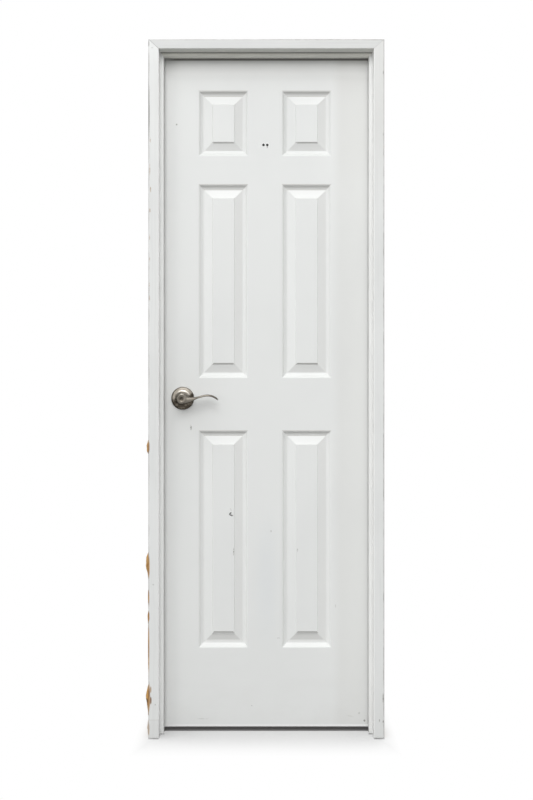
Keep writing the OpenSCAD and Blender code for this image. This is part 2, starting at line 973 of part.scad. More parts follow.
module rose() {
    hole = shank_d / 2 + shank_fit;
    color(nickel)
        turned(concat(
            [[rose_d / 2, 0]], rose_line(0, flare_a), [[hole, rose_h], [hole, rose_h - 1.5]],
            reversed(rose_line(rose_t, flare_a * 0.88)), [[rose_d / 2 - rose_t, 0]]
        ));
}

module front_rose() {
    at_front()
        rose();
}

module back_rose() {
    at_back()
        rose();
}

module rose_plate() {
    color(steel)
        difference() {
            cylinder(h = plate_t, d = plate_d);
            translate([0, 0, -e])
                cylinder(h = plate_t + 2 * e, d = 20);
            for (s = [-1, 1])
                translate([0, s * bolt_off, -e])
                    cylinder(h = plate_t + 2 * e, d = bolt_d + 0.2);
        }
}

module front_plate() {
    at_front()
        rose_plate();
}

module back_plate() {
    at_back()
        rose_plate();
}

// Screws from the back plate to the front plate
module through_screws() {
    r = bolt_d / 2;
    color(steel)
        at_back()
            for (s = [-1, 1])
                translate([0, s * bolt_off, 0])
                    difference() {
                        turned([
                            [0, -leaf_t - plate_t], [r, -leaf_t - plate_t], [r, plate_t],
                            [3.5, plate_t], [3.5, plate_t + 1.4], [2.2, plate_t + 2.4],
                            [0, plate_t + 2.4]
                        ]);
                        translate([-4, -0.5, plate_t + 1.2])
                            cube([8, 1, 2]);
                    }
}

module return_spring() {
    color(steel)
        translate([0, 0, plate_t + 1.1])
            coil(15.2, 0.8, 2.5, 5, 20);
}

module front_return_spring() {
    at_front()
        return_spring();
}

module back_return_spring() {
    at_back()
        return_spring();
}

// Middle of the blade seen from the front, falling from the hub, rising to the crest, falling to the tip
function blade_mid(t) = t < 0.6
    ? bezier([0, 0], [crest_x * 0.4, -neck_dip], [crest_x * 0.66, crest_z], [crest_x, crest_z], t / 0.6)
    : bezier([crest_x, crest_z], [crest_x + 13, crest_z], [lever_len - 7, tip_z + 5],
        [lever_len, tip_z], (t - 0.6) / 0.4);

// Half height and half depth of the blade, and how far it stands from the leaf
function blade_up(x) = blade_t / 2 + (hub_d / 2 - 1.2 - blade_t / 2)
    * pow(max(0, 1 - x / neck_len), neck_taper);

function blade_deep(x) = (blade_w / 2 + 1.5) - 3 * x / lever_len;

function blade_end(x) = sqrt(max(0.12, 1 - pow(max(0, x - lever_len + 6) / 6, 2)));

function blade_out(x) = hub_out - 11.5 - 6 * pow(x / lever_len, 3);

module blade() {
    steps = 26;
    ring_body([for (i = [0:steps]) let (m = blade_mid(i / steps), f = blade_end(m[0]))
        [for (j = [0:15]) let (
                a = 22.5 * j,
                c = sign(cos(a)) * pow(abs(cos(a)), 0.8),
                s = sign(sin(a)) * pow(abs(sin(a)), 0.8))
            [m[0], m[1] - blade_up(m[0]) * (0.4 + 0.6 * f) * s,
                blade_out(m[0]) + blade_deep(m[0]) * f * c]]]);
}

module lever_blank() {
    r = hub_d / 2;
    difference() {
        union() {
            turned(concat(
                [[0, plate_t + 0.4], [shank_d / 2, plate_t + 0.4], [shank_d / 2, rose_h + 0.6],
                    [r - 0.6, rose_h + 0.6], [r, rose_h + 1.2]],
                arc(r - hub_round, hub_out - hub_round, hub_round, 0, 90, 6),
                [[0, hub_out]]
            ));
            blade();
        }
        translate([-socket, -socket, 0])
            cube([2 * socket, 2 * socket, spindle_in + 0.5]);
        translate([0, -hub_d, 24])
            rotate([-90, 0, 0])
                cylinder(h = hub_d, d = 4.1);
    }
}

module front_lever() {
    color(nickel)
        at_front()
            difference() {
                lever_blank();
                translate([0, 0, hub_out + dish_r - dish_h])
                    sphere(r = dish_r);
                cylinder(h = hub_out + e, d = release_d);
            }
}

module back_lever() {
    color(nickel)
        at_back()
            difference() {
                lever_blank();
                translate([0, 0, spindle_in + 1])
                    cylinder(h = hub_out, r = button_d / 2 + button_fit);
                translate([0, 0, spindle_in - e])
                    cylinder(h = 3, d = 5);
            }
}

module spindle() {
    l = leaf_t + 2 * spindle_in;
    color(steel)
        at_latch()
            translate([-spindle_w / 2, -l / 2, -spindle_w / 2])
                cube([spindle_w, l, spindle_w]);
}

module grub_screw() {
    translate([0, -13, 24])
        rotate([-90, 0, 0])
            difference() {
                cylinder(h = 13 - spindle_w / 2 - 0.1, d = 4);
                translate([0, 0, -e])
                    cylinder(h = 3 + e, d = 2.3, $fn = 6);
            }
}

module grub_screws() {
    color(steel) {
        at_front()
            grub_screw();
        at_back()
            grub_screw();
    }
}

module privacy_button() {
    r = button_d / 2;
    color(nickel)
        at_back()
            turned([
                [0, spindle_in + 1.4 + button_travel], [r, spindle_in + 1.4 + button_travel],
                [r, hub_out + button_travel - 0.6], [r - 1, hub_out + button_travel + 0.4],
                [0, hub_out + button_travel + 0.6]
            ]);
}

// Latch, drawn about the lever axis with the bolt pointing to -X

module latch_faceplate() {
    color(nickel)
        difference() {
            translate([-lx, leaf_mid - face_w / 2, lev_z - face_h / 2])
                cube([face_t, face_w, face_h]);
            at_latch()
                translate([-backset - e, -chan_y, -chan_z])
                    cube([face_t + 2 * e, 2 * chan_y, 2 * chan_z]);
            translate([-lx, 0, 0])
                at_face_screws()
                    to_plus_x()
                        screw_hole(small_screw_l);
        }
}

module latch_screws() {
    color(nickel)
        translate([-lx, 0, 0])
            at_face_screws()
                to_plus_x()
                    screw(small_screw_l);
}

module latch_case() {
    x0 = -backset + face_t;
    color(steel)
        at_latch()
            difference() {
                union() {
                    translate([x0, 0, 0])
                        rotate([0, 90, 0])
                            cylinder(h = backset - face_t - 20, d = tube_d);
                    translate([-22, -8.4, -9])
                        cube([45, 16.8, 18]);
                }
                translate([x0 - e, -chan_y, -chan_z])
                    cube([backset - face_t - 22 + e, 2 * chan_y, 2 * chan_z]);
                translate([-20.5, -chan_y, -chan_z])
                    cube([42, 2 * chan_y, 2 * chan_z]);
                translate([-24, -2.4, -3])
                    cube([6, 4.8, 6]);
                rotate([90, 0, 0])
                    cylinder(h = 30, r = slot_r, center = true);
            }
}

// Bolt with a slanted nose, a neck through the spring and a slotted tail round the spindle
module latch_bolt() {
    tip = -backset - bolt_travel;
    color(nickel)
        at_latch()
            difference() {
                union() {
                    difference() {
                        translate([tip, -bolt_t / 2, -bolt_h / 2])
                            cube([-43 - tip, bolt_t, bolt_h]);
                        translate([0, 0, -bolt_h])
                            linear_extrude(height = 2 * bolt_h)
                                polygon([
                                    [tip - e, bolt_t / 2 - 2], [tip, bolt_t / 2 - 2],
                                    [tip + bolt_travel, -bolt_t / 2], [tip + bolt_travel, -bolt_t],
                                    [tip - e, -bolt_t]
                                ]);
                    }
                    translate([-44, -2, -2.5])
                        cube([26, 4, 5]);
                    translate([-20, -2, -bolt_h / 2])
                        cube([29, 4, bolt_h]);
                }
                translate([-bolt_travel, 0, 0])
                    rotate([90, 0, 0])
                        cylinder(h = 30, r = slot_r, center = true);
                rotate([90, 0, 0])
                    cylinder(h = 30, r = slot_r, center = true);
                translate([-bolt_travel, -15, -slot_r])
                    cube([bolt_travel, 30, 2 * slot_r]);
            }
}

module latch_spring() {
    color(steel)
        at_latch()
            translate([-42.2, 0, 0])
                rotate([0, 90, 0])
                    coil(4.9, 0.5, 6, 19.4, 14);
}

strike_jamb();
hinge_jamb();
head_jamb();
strike_stop();
hinge_stop();
head_stop();
corner_screws();
stop_brads();
strike_plate();
strike_screws();
foam_residue();
front_skin();
back_skin();
lock_stile();
hinge_stile();
top_rail();
foot_rail();
lock_block();
paper_core();
top_jamb_leaf();
middle_jamb_leaf();
bottom_jamb_leaf();
top_door_leaf();
middle_door_leaf();
bottom_door_leaf();
top_pin();
middle_pin();
bottom_pin();
jamb_hinge_screws();
door_hinge_screws();
front_rose();
back_rose();
front_plate();
back_plate();
through_screws();
front_return_spring();
back_return_spring();
front_lever();
back_lever();
spindle();
grub_screws();
privacy_button();
latch_faceplate();
latch_screws();
latch_case();
latch_bolt();
latch_spring();
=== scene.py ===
# %% [markdown]
# # A six-panel interior door in its frame
# This lesson dresses a finished CAD model. The door, its frame, its hinges and its lever set arrive
# with every piece in its true place, so nothing here is moved or resized. What is left to do is what
# brush and roller, years of use and one careless removal did to it: paint, dirt, chips and old foam, with
# some light and shade painted in as well.
# All lengths are metres. X runs to the right, Y away from the viewer, Z up, and the floor is z = 0.

# %% Load the door
import math

import bmesh
import bpy
from mathutils import Matrix, Vector, noise


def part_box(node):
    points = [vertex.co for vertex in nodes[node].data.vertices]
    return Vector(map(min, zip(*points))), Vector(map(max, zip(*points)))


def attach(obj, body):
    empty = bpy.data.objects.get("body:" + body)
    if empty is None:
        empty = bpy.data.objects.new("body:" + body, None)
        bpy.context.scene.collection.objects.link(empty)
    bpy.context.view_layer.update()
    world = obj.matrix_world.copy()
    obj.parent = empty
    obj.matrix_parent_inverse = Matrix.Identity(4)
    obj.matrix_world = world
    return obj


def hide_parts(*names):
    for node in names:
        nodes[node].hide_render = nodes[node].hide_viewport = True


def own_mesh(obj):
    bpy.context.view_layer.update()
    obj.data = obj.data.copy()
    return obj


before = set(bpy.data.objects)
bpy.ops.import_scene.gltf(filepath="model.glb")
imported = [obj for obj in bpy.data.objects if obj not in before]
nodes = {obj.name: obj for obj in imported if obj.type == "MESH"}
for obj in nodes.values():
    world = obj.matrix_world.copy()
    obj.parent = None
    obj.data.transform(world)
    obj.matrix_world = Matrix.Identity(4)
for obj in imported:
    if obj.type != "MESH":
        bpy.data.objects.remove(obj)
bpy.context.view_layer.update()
print("pieces loaded:", len(nodes))

# %% [markdown]
# The places that the finishes need are read from the pieces themselves: where the frame ends, where the
# stops stand, where the leaf has its two faces, and where the middle of the lever set is. If the door were
# rebuilt wider, every line and edge that hangs on these values would follow.

# %% Read the main places from the pieces
jamb_low, jamb_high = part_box("strike_jamb")
head_low, head_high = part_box("head_jamb")
stop_low, stop_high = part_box("strike_stop")
head_stop_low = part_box("head_stop")[0]
leaf_low, leaf_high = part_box("front_skin")
back_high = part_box("back_skin")[1]
rose_low, rose_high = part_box("front_rose")

frame_side = -jamb_low.x
frame_front = jamb_low.y
frame_back = jamb_high.y
frame_top = head_high.z
opening_side = -jamb_high.x
opening_top = head_low.z
stop_side = -stop_high.x
stop_front = stop_low.y
stop_back = stop_high.y
stop_under = head_stop_low.z
leaf_front = leaf_low.y
leaf_back = back_high.y
leaf_foot = leaf_low.z
leaf_top = leaf_high.z
leaf_side = leaf_high.x
leaf_middle = (leaf_front + leaf_back) / 2
leaf_half = (leaf_back - leaf_front) / 2
lever_x = (rose_low.x + rose_high.x) / 2
lever_z = (rose_low.z + rose_high.z) / 2
print("leaf faces at y =", round(leaf_front, 4), "and", round(leaf_back, 4))
print("lever set at x =", round(lever_x, 4), "z =", round(lever_z, 4))

# %% [markdown]
# The camera stands straight in front of the door, about three and a half metres away, at chest height.
# It looks level, so the uprights stay upright, as in a catalogue photo. A small vertical shift of the
# lens puts the door in the right place in the picture without tilting the camera.

# %% Set up the camera
camera_distance = 3.571
camera_height = 1.080
camera_side = 0.0004
lens_mm = 56.1
lens_drop = -0.0485

camera = bpy.data.objects.new("camera", bpy.data.cameras.new("camera"))
bpy.context.scene.collection.objects.link(camera)
camera.location = (camera_side, frame_front - camera_distance, camera_height)
camera.rotation_euler = (math.radians(90), 0, 0)
camera.data.lens = lens_mm
camera.data.shift_y = lens_drop
bpy.context.scene.camera = camera
bpy.context.scene.view_settings.view_transform = "Standard"
print("camera at", [round(value, 3) for value in camera.location])

# %% [markdown]
# Some rays end in the picture, straight or by way of a shiny surface, and others only carry light from
# one matt surface to the next. Blender's light path node tells them apart. With the helper below, the sky
# and the floor can look white in the picture and still give the door no more light than it should have.


# %% Tell seen rays from light that bounces
def seen_ray(tree):
    """1 for a ray from the camera, or one that a shiny surface sends on, and 0 for light that bounces."""
    rays = tree.nodes.new("ShaderNodeLightPath")
    seen = rays.outputs["Is Camera Ray"]
    for kind in ("Is Glossy Ray", "Is Transmission Ray"):
        either = tree.nodes.new("ShaderNodeMath")
        either.operation = "MAXIMUM"
        tree.links.new(seen, either.inputs[0])
        tree.links.new(rays.outputs[kind], either.inputs[1])
        seen = either.outputs[0]
    return seen


print("ray helper ready")

# %% [markdown]
# The light is that of an open yard on a dull day: a sky that is brightest overhead and a little brighter
# on the left. It makes the slopes of the panels that face up pale and those that face down grey, which is
# what shows the moulding at all on a white door. Seen by the camera or mirrored, it is plain white.

# %% Light the scene with a soft sky
sky_overhead = 1.15
sky_at_horizon = 0.445
sky_to_left = 0.42

world = bpy.data.worlds.new("soft_sky")
world.use_nodes = True
bpy.context.scene.world = world
sky = world.node_tree
sky.nodes.clear()

direction = sky.nodes.new("ShaderNodeTexCoord")
axes = sky.nodes.new("ShaderNodeSeparateXYZ")
sky.links.new(direction.outputs["Generated"], axes.inputs[0])
brightness = sky.nodes.new("ShaderNodeMapRange")
brightness.inputs["To Min"].default_value = sky_at_horizon
brightness.inputs["To Max"].default_value = sky_overhead
sky.links.new(axes.outputs["Z"], brightness.inputs["Value"])
leftward = sky.nodes.new("ShaderNodeMapRange")
leftward.inputs["From Min"].default_value = -1.0
leftward.inputs["To Min"].default_value = 1.0 + sky_to_left
leftward.inputs["To Max"].default_value = 1.0 - sky_to_left
sky.links.new(axes.outputs["X"], leftward.inputs["Value"])
sky_strength = sky.nodes.new("ShaderNodeMath")
sky_strength.operation = "MULTIPLY"
sky.links.new(brightness.outputs["Result"], sky_strength.inputs[0])
sky.links.new(leftward.outputs["Result"], sky_strength.inputs[1])
print("sky from", sky_at_horizon, "at the horizon to", sky_overhead, "overhead")

# %% [markdown]
# Two backgrounds are mixed by the kind of ray. The first one lights the door with the strength worked out
# above, and the second one is the plain white that is seen.

# %% Show the sky as plain white
lighting_sky = sky.nodes.new("ShaderNodeBackground")
white_sky = sky.nodes.new("ShaderNodeBackground")
for background in (lighting_sky, white_sky):
    background.inputs["Color"].default_value = (1, 1, 1, 1)
sky.links.new(sky_strength.outputs[0], lighting_sky.inputs["Strength"])
either_sky = sky.nodes.new("ShaderNodeMixShader")
sky.links.new(seen_ray(sky), either_sky.inputs[0])
sky.links.new(lighting_sky.outputs[0], either_sky.inputs[1])
sky.links.new(white_sky.outputs[0], either_sky.inputs[2])
sky_out = sky.nodes.new("ShaderNodeOutputWorld")
sky.links.new(either_sky.outputs[0], sky_out.inputs["Surface"])
print("sky built from", len(sky.nodes), "nodes")

# %% [markdown]
# Three large soft lamps give the light a side. The strongest one stands in front and above: it draws the
# gentle shadow under the lever, and its sheen lies on every slope that faces up. The weakest one stands
# low on the left, like a window, and picks out the slopes that face it. The third lights the other side of
# the door, for views from behind. A big lamp has soft shadow edges, and a small one would have hard ones.

# %% Add the soft lamps
lamp_distance = 9.5
lamp_target = Vector((0, leaf_front, camera_height))


def soft_lamp(name, wide, high, power, where_from):
    lamp = bpy.data.objects.new(name, bpy.data.lights.new(name, "AREA"))
    bpy.context.scene.collection.objects.link(lamp)
    lamp.data.shape = "RECTANGLE"
    lamp.data.size = wide
    lamp.data.size_y = high
    lamp.data.energy = power
    lamp.location = lamp_target + where_from.normalized() * lamp_distance
    lamp.rotation_euler = (-where_from).to_track_quat("-Z", "Y").to_euler()
    print(name, "at", [round(value, 2) for value in lamp.location])


soft_lamp("high_lamp", wide=4.2, high=5.0, power=384, where_from=Vector((-0.02, -0.84, 0.55)))
soft_lamp("window_lamp", wide=3.0, high=3.0, power=85, where_from=Vector((-0.50, -0.86, 0.10)))
soft_lamp("room_lamp", wide=4.2, high=5.0, power=240, where_from=Vector((0.30, 0.84, 0.45)))

# %% [markdown]
# Every finish below is built the way it got there on the real door: a ground colour first, then one coat
# after another, each laid on through a mask. A mask is a number from 0 to 1 at each point of the surface.
# The class keeps the colour, the roughness and the relief so far, so that a coat is one short call. The
# place of a point is taken from the piece itself, in metres, so the finish stays put when the door swings.


# %% Build a finish coat by coat
class Finish:
    """A material in the making: colour, roughness and relief in millimetres, changed coat by coat."""

    def __init__(self, name, colour, roughness, metallic=0.0):
        self.material = bpy.data.materials.new(name)
        self.material.use_nodes = True
        self.tree = self.material.node_tree
        self.shader = self.tree.nodes["Principled BSDF"]
        self.shader.inputs["Metallic"].default_value = metallic
        self.place = self.add("TexCoord").outputs["Object"]
        split = self.add("SeparateXYZ", {"Vector": self.place})
        self.x, self.y, self.z = split.outputs
        self.colour = (*colour, 1)
        self.roughness = roughness
        self.relief_mm = None

    def add(self, kind, inputs=None, **settings):
        node = self.tree.nodes.new("ShaderNode" + kind)
        for name, value in settings.items():
            setattr(node, name, value)
        for name, value in (inputs or {}).items():
            if isinstance(value, bpy.types.NodeSocket):
                self.tree.links.new(value, node.inputs[name])
            else:
                node.inputs[name].default_value = value
        return node

    def math(self, operation, first, second=0.0):
        return self.add("Math", {0: first, 1: second}, operation=operation).outputs[0]

    def ramp(self, value, low, high):
        """0 below low and 1 above high, with a smooth rise between them; low may be the larger."""
        inputs = {"Value": value, "From Min": low, "From Max": high}
        return self.add("MapRange", inputs, interpolation_type="SMOOTHSTEP").outputs["Result"]

    def both(self, *masks):
        result = masks[0]
        for mask in masks[1:]:
            result = self.math("MULTIPLY", result, mask)
        return result

    def band(self, value, rise, fall):
        """1 between a rise and a fall. Each is a pair: where the mask is still 0, and where it is 1."""
        return self.both(self.ramp(value, *rise), self.ramp(value, *fall))

    def either(self, *masks):
        result = masks[0]
        for mask in masks[1:]:
            result = self.math("MAXIMUM", result, mask)
        return result

    def noise(self, size, stretch=(1, 1, 1), detail=4.0):
        """Cloudy values about 0.5, with lumps of that size in metres, longer along a stretched axis."""
        scale = [1 / (size * length) for length in stretch]
        place = self.add("Mapping", {"Vector": self.place, "Scale": scale}).outputs[0]
        return self.add("TexNoise", {"Vector": place, "Scale": 1.0, "Detail": detail}).outputs[0]

    def spot(self, x, z, half_wide, half_high, soft=0.4, lean=0.0):
        """A round or long patch seen from the front: 1 in its middle, 0 outside. It may lean, in degrees."""
        across = self.math("SUBTRACT", self.x, x)
        upward = self.math("SUBTRACT", self.z, z)
        flat = self.add("CombineXYZ", {"X": across, "Y": upward}).outputs[0]
        flat = self.add("VectorRotate", {"Vector": flat, "Angle": math.radians(lean)}).outputs[0]
        size = (1 / half_wide, 1 / half_high, 1)
        flat = self.add("VectorMath", {0: flat, 1: size}, operation="MULTIPLY").outputs["Vector"]
        far = self.add("VectorMath", {0: flat}, operation="LENGTH").outputs["Value"]
        return self.ramp(far, 1.0, 1.0 - soft)

    def coat(self, mask, colour, strength=1.0):
        amount = self.math("MULTIPLY", mask, strength)
        over = (*colour, 1) if isinstance(colour, tuple) else colour
        layer = self.add("Mix", {0: amount, 6: self.colour, 7: over}, data_type="RGBA")
        self.colour = layer.outputs[2]

    def rub(self, mask, roughness):
        layer = self.add("Mix", {0: mask, 2: self.roughness, 3: roughness}, data_type="FLOAT")
        self.roughness = layer.outputs[0]

    def relief(self, mask, millimetres):
        rise = self.math("MULTIPLY", mask, millimetres)
        self.relief_mm = rise if self.relief_mm is None else self.math("ADD", self.relief_mm, rise)

    def done(self):
        surface = {"Base Color": self.colour, "Roughness": self.roughness}
        if self.relief_mm is not None:
            bump = self.add("Bump", {"Height": self.relief_mm, "Distance": 0.001})
            surface["Normal"] = bump.outputs[0]
        for name, value in surface.items():
            if isinstance(value, bpy.types.NodeSocket):
                self.tree.links.new(value, self.shader.inputs[name])
            else:
                self.shader.inputs[name].default_value = value
        print("finish", self.material.name, "has", len(self.tree.nodes), "nodes")
        return self.material


print("finish builder ready")

# %% [markdown]
# The floor is a plain pale sheet, far wider than the picture. For light that bounces it is darker than
# it looks, as trodden ground is, so that it doesn't light the mouldings from below.

# %% Lay the floor
floor_half = 60.0
floor_near = (0.72, 0.72, 0.72)

floor_mesh = bpy.data.meshes.new("floor")
floor_corners = [(-floor_half, -floor_half, 0), (floor_half, -floor_half, 0)]
floor_corners += [(floor_half, floor_half, 0), (-floor_half, floor_half, 0)]
floor_mesh.from_pydata(floor_corners, [], [(0, 1, 2, 3)])
floor = bpy.data.objects.new("floor", floor_mesh)
bpy.context.scene.collection.objects.link(floor)

sheet = Finish("floor_sheet", floor_near, roughness=0.95)
sheet.shader.inputs["Specular IOR Level"].default_value = 0.0
from_middle = sheet.math("ABSOLUTE", sheet.x)
print("floor of", 2 * floor_half, "m each way")

# %% [markdown]
# A strip under the leaf and thin lines in front of the feet of the jambs and the stops are painted dark on
# the floor. They are painted contact shadow, deeper than such soft light leaves it there. Each patch is a
# box seen from above, the product of its soft edges. An edge is a pair of places: where the painted
# shadow begins, and where it is full.

# %% Paint shadow under the door
floor_shadow_grey = (0.20, 0.20, 0.20)


def shadow_patch(depth_edges, side_edges, strength):
    """Painted shadow between edges along Y and edges counted from the middle of the door to both sides."""
    edges = [sheet.ramp(sheet.y, begins, full) for begins, full in depth_edges]
    edges += [sheet.ramp(from_middle, begins, full) for begins, full in side_edges]
    sheet.coat(sheet.both(*edges), floor_shadow_grey, strength)


shadow_patch(
    [(leaf_front - 0.013, leaf_front - 0.005), (leaf_back + 0.004, leaf_back - 0.003)],
    [(opening_side, opening_side - 0.004)],
    strength=1.0,
)
shadow_patch(
    [(frame_front - 0.0115, frame_front - 0.0085), (frame_front + 0.0020, frame_front)],
    [(opening_side - 0.002, opening_side + 0.001), (frame_side + 0.002, frame_side - 0.001)],
    strength=1.0,
)
shadow_patch(
    [(stop_front - 0.0100, stop_front - 0.0070), (stop_front + 0.0020, stop_front)],
    [(stop_side - 0.003, stop_side), (opening_side + 0.001, opening_side - 0.001)],
    strength=0.8,
)
print("floor nodes so far:", len(sheet.tree.nodes))

# %% [markdown]
# Close to the door the floor keeps its grey and the door's shadow. Further off it fades to the white of
# the sky, so no horizon shows: there the sheet is black and glows white, but only for rays that are seen.

# %% Fade the floor to white
floor_bounce = (0.165, 0.165, 0.165)
fade_beside = (-0.032, 0.042)
fade_before = (-0.050, 0.180)
fade_behind = (0.050, 0.900)

beside = sheet.ramp(sheet.math("SUBTRACT", from_middle, frame_side), *fade_beside)
before = sheet.ramp(sheet.math("SUBTRACT", frame_front, sheet.y), *fade_before)
behind = sheet.ramp(sheet.math("SUBTRACT", sheet.y, frame_back), *fade_behind)
away = sheet.either(beside, before, behind)
seen = seen_ray(sheet.tree)
sheet.coat(away, (0, 0, 0))
sheet.coat(sheet.math("SUBTRACT", 1.0, seen), floor_bounce)
sheet.shader.inputs["Emission Color"].default_value = (1, 1, 1, 1)
sheet.tree.links.new(sheet.both(away, seen), sheet.shader.inputs["Emission Strength"])
floor_mesh.materials.append(sheet.done())

# %% [markdown]
# The leaf was rolled white. A roller leaves a fine stipple and long shallow waves in the paint, and the
# years leave it a little cloudy. The clouds are colour, the uneven sheen is roughness, and the stipple and
# the waves are relief, which catches the light as on the real door. One finish serves both faces.

# %% Roll the leaf white
leaf_white = (0.828, 0.840, 0.828)
cloud_grey = (0.785, 0.797, 0.788)

leaf_paint = Finish("rolled_leaf_paint", leaf_white, roughness=0.31)
clouds = leaf_paint.ramp(leaf_paint.noise(0.32, (1, 1, 1.6)), 0.42, 0.66)
leaf_paint.coat(clouds, cloud_grey, strength=0.55)
leaf_paint.rub(leaf_paint.noise(0.05), roughness=0.42)
leaf_paint.relief(leaf_paint.noise(0.0016, detail=2.0), millimetres=0.035)
leaf_paint.relief(leaf_paint.noise(0.03, (1, 1, 3)), millimetres=0.10)
print("leaf nodes so far:", len(leaf_paint.tree.nodes))

# %% [markdown]
# The bottoms of the pressed grooves are painted a little darker, in clouds. How deep a point lies is
# worked out from its distance to the middle of the leaf, so one depth mask serves both faces at once.

# %% Darken the grooves
dust_and_shade_grey = (0.640, 0.632, 0.605)
groove_start = 0.0055
groove_end = 0.0095

off_centre = leaf_paint.math("ABSOLUTE", leaf_paint.math("SUBTRACT", leaf_paint.y, leaf_middle))
behind_face = leaf_paint.math("SUBTRACT", leaf_half, off_centre)
groove = leaf_paint.ramp(behind_face, groove_start, groove_end)
leaf_paint.coat(leaf_paint.both(groove, leaf_paint.noise(0.02)), dust_and_shade_grey, strength=0.08)
print("groove dust begins", groove_start, "m behind the face")

# %% [markdown]
# The slopes of the mouldings are painted lighter or darker by the way they face: painted light and shade.
# Those that lean to the right are a little darker, the steepest ones are painted whiter, and those that
# face down are painted grey, most of all where they turn. In the low panels those slopes are darker still,
# and end in a paler strip: these slopes start a little too low in the model, and the paint makes up for
# it. The direction is the piece's own normal, so the painted shade stays in place when the leaf swings.

# %% Paint light and shade on the slopes by the way they face
strip_white = (0.930, 0.935, 0.920)
low_panel_top = (0.40, 0.38)
low_slope_end = (0.2642, 0.2618)


def paint_light_on_slopes(paint):
    facing = paint.add("SeparateXYZ", {"Vector": paint.add("TexCoord").outputs["Normal"]})
    facing_right = facing.outputs["X"]
    facing_up = facing.outputs["Z"]
    leaning_right = paint.band(facing_right, (0.03, 0.12), (0.60, 0.35))
    steep_left = paint.ramp(facing_right, -0.30, -0.60)
    steep_right = paint.ramp(facing_right, 0.45, 0.75)
    facing_down = paint.ramp(facing_up, -0.15, -0.60)
    turning_down = paint.band(facing_up, (-0.02, -0.07), (-0.235, -0.17))
    low_slope = paint.band(facing_up, (-0.15, -0.20), (-0.36, -0.28))
    low_panel = paint.ramp(paint.z, *low_panel_top)
    slope_end = paint.ramp(paint.z, *low_slope_end)
    paint.coat(leaning_right, dust_and_shade_grey, strength=0.18)
    paint.coat(steep_left, strip_white, strength=0.45)
    paint.coat(steep_right, strip_white, strength=0.40)
    paint.coat(facing_down, dust_and_shade_grey, strength=0.50)
    paint.coat(turning_down, dust_and_shade_grey, strength=0.95)
    paint.coat(low_slope, dust_and_shade_grey, strength=0.12)
    paint.coat(paint.both(low_slope, low_panel), dust_and_shade_grey, strength=0.30)
    paint.coat(paint.both(low_slope, slope_end), strip_white)


paint_light_on_slopes(leaf_paint)
print("leaf nodes so far:", len(leaf_paint.tree.nodes))

# %% [markdown]
# The leaf is a little greyer towards its foot, in clouds. Painted shade greys its top, below the head, and
# its hinge side, most of all in the upper corner. Hands have left a faint patch round the lever, and a
# stretch of the middle stile has a cooler white.

# %% Grey the foot, and paint shade on the top and the hinge side
hand_grey = (0.700, 0.690, 0.660)
cool_grey = (0.700, 0.738, 0.765)
foot_reach = (0.34, 0.01)
top_rise = (leaf_top - 0.130, leaf_top - 0.060)
top_fall = (leaf_top - 0.025, leaf_top - 0.060)
hinge_reach = (0.186, 0.225)
corner_reach = (1.55, 1.75)
# x, z, half width, half height
hand_spot = (lever_x + 0.03, lever_z - 0.03, 0.14, 0.20)
cool_spot = (0.002, 0.44, 0.055, 0.26)

foot = leaf_paint.ramp(leaf_paint.z, *foot_reach)
foot_clouds = leaf_paint.ramp(leaf_paint.noise(0.09, (1, 1, 0.6)), 0.30, 0.75)
high_up = leaf_paint.band(leaf_paint.z, top_rise, top_fall)
hinge_end = leaf_paint.ramp(leaf_paint.x, *hinge_reach)
hinge_corner = leaf_paint.both(hinge_end, leaf_paint.ramp(leaf_paint.z, *corner_reach))
leaf_paint.coat(leaf_paint.both(foot, foot_clouds), dust_and_shade_grey, strength=0.11)
# Painted shadow of the head along the top, and painted shade on the hinge side and its upper corner.
leaf_paint.coat(high_up, dust_and_shade_grey, strength=0.12)
leaf_paint.coat(hinge_end, dust_and_shade_grey, strength=0.25)
leaf_paint.coat(hinge_corner, dust_and_shade_grey, strength=0.17)
hand_patch = leaf_paint.spot(*hand_spot, soft=1.0)
leaf_paint.coat(leaf_paint.both(hand_patch, leaf_paint.noise(0.06)), hand_grey, strength=0.26)
leaf_paint.coat(leaf_paint.spot(*cool_spot, soft=0.9), cool_grey, strength=0.25)
print("leaf nodes so far:", len(leaf_paint.tree.nodes))

# %% [markdown]
# Marks tell one door from the next. This one has a few knocks and scuffs, and one deep chip made of two
# strokes. Each mark is written with its place on the leaf and its half sizes. A fine noise breaks the edges
# of the knocks, so that they don't look stamped.

# %% Knock and chip the front of the leaf
scuff_dark = (0.235, 0.225, 0.205)
chip_black_and_hole_shade = (0.012, 0.012, 0.011)
knocks = [
    # x, z, half width, half height, lean, strength
    (-0.2628, 1.7731, 0.0034, 0.0038, 0, 0.75),
    (-0.2208, 0.8856, 0.0030, 0.0105, 0, 1.0),
    (-0.1040, 0.6450, 0.0018, 0.0070, -20, 0.35),
    (-0.0957, 0.5224, 0.0022, 0.0170, 0, 0.75),
    (0.0138, 0.5824, 0.0030, 0.0045, 0, 0.40),
    (0.0913, 0.5268, 0.0022, 0.0075, 0, 0.45),
    (0.0354, 0.2692, 0.0060, 0.0024, 0, 0.30),
    (0.2023, 0.3629, 0.0024, 0.0070, 0, 0.35),
    (-0.0421, 0.0711, 0.0050, 0.0026, 0, 0.45),
    (0.2719, 0.0497, 0.0040, 0.0045, 0, 0.70),
    (0.2871, 0.0275, 0.0044, 0.0048, 0, 0.90),
    (0.2440, 0.0410, 0.0180, 0.0030, 12, 0.12),
    (-0.1870, 0.0330, 0.0240, 0.0022, 0, 0.22),
    (0.0026, 1.7066, 0.0030, 0.0056, 0, 0.60),
]
deep_chips = [
    # x, z, half width, half height, lean
    (-0.1058, 0.6338, 0.0028, 0.0062, 42),
    (-0.1028, 0.6284, 0.0068, 0.0027, 15),
]
knock_depth_mm = 0.25

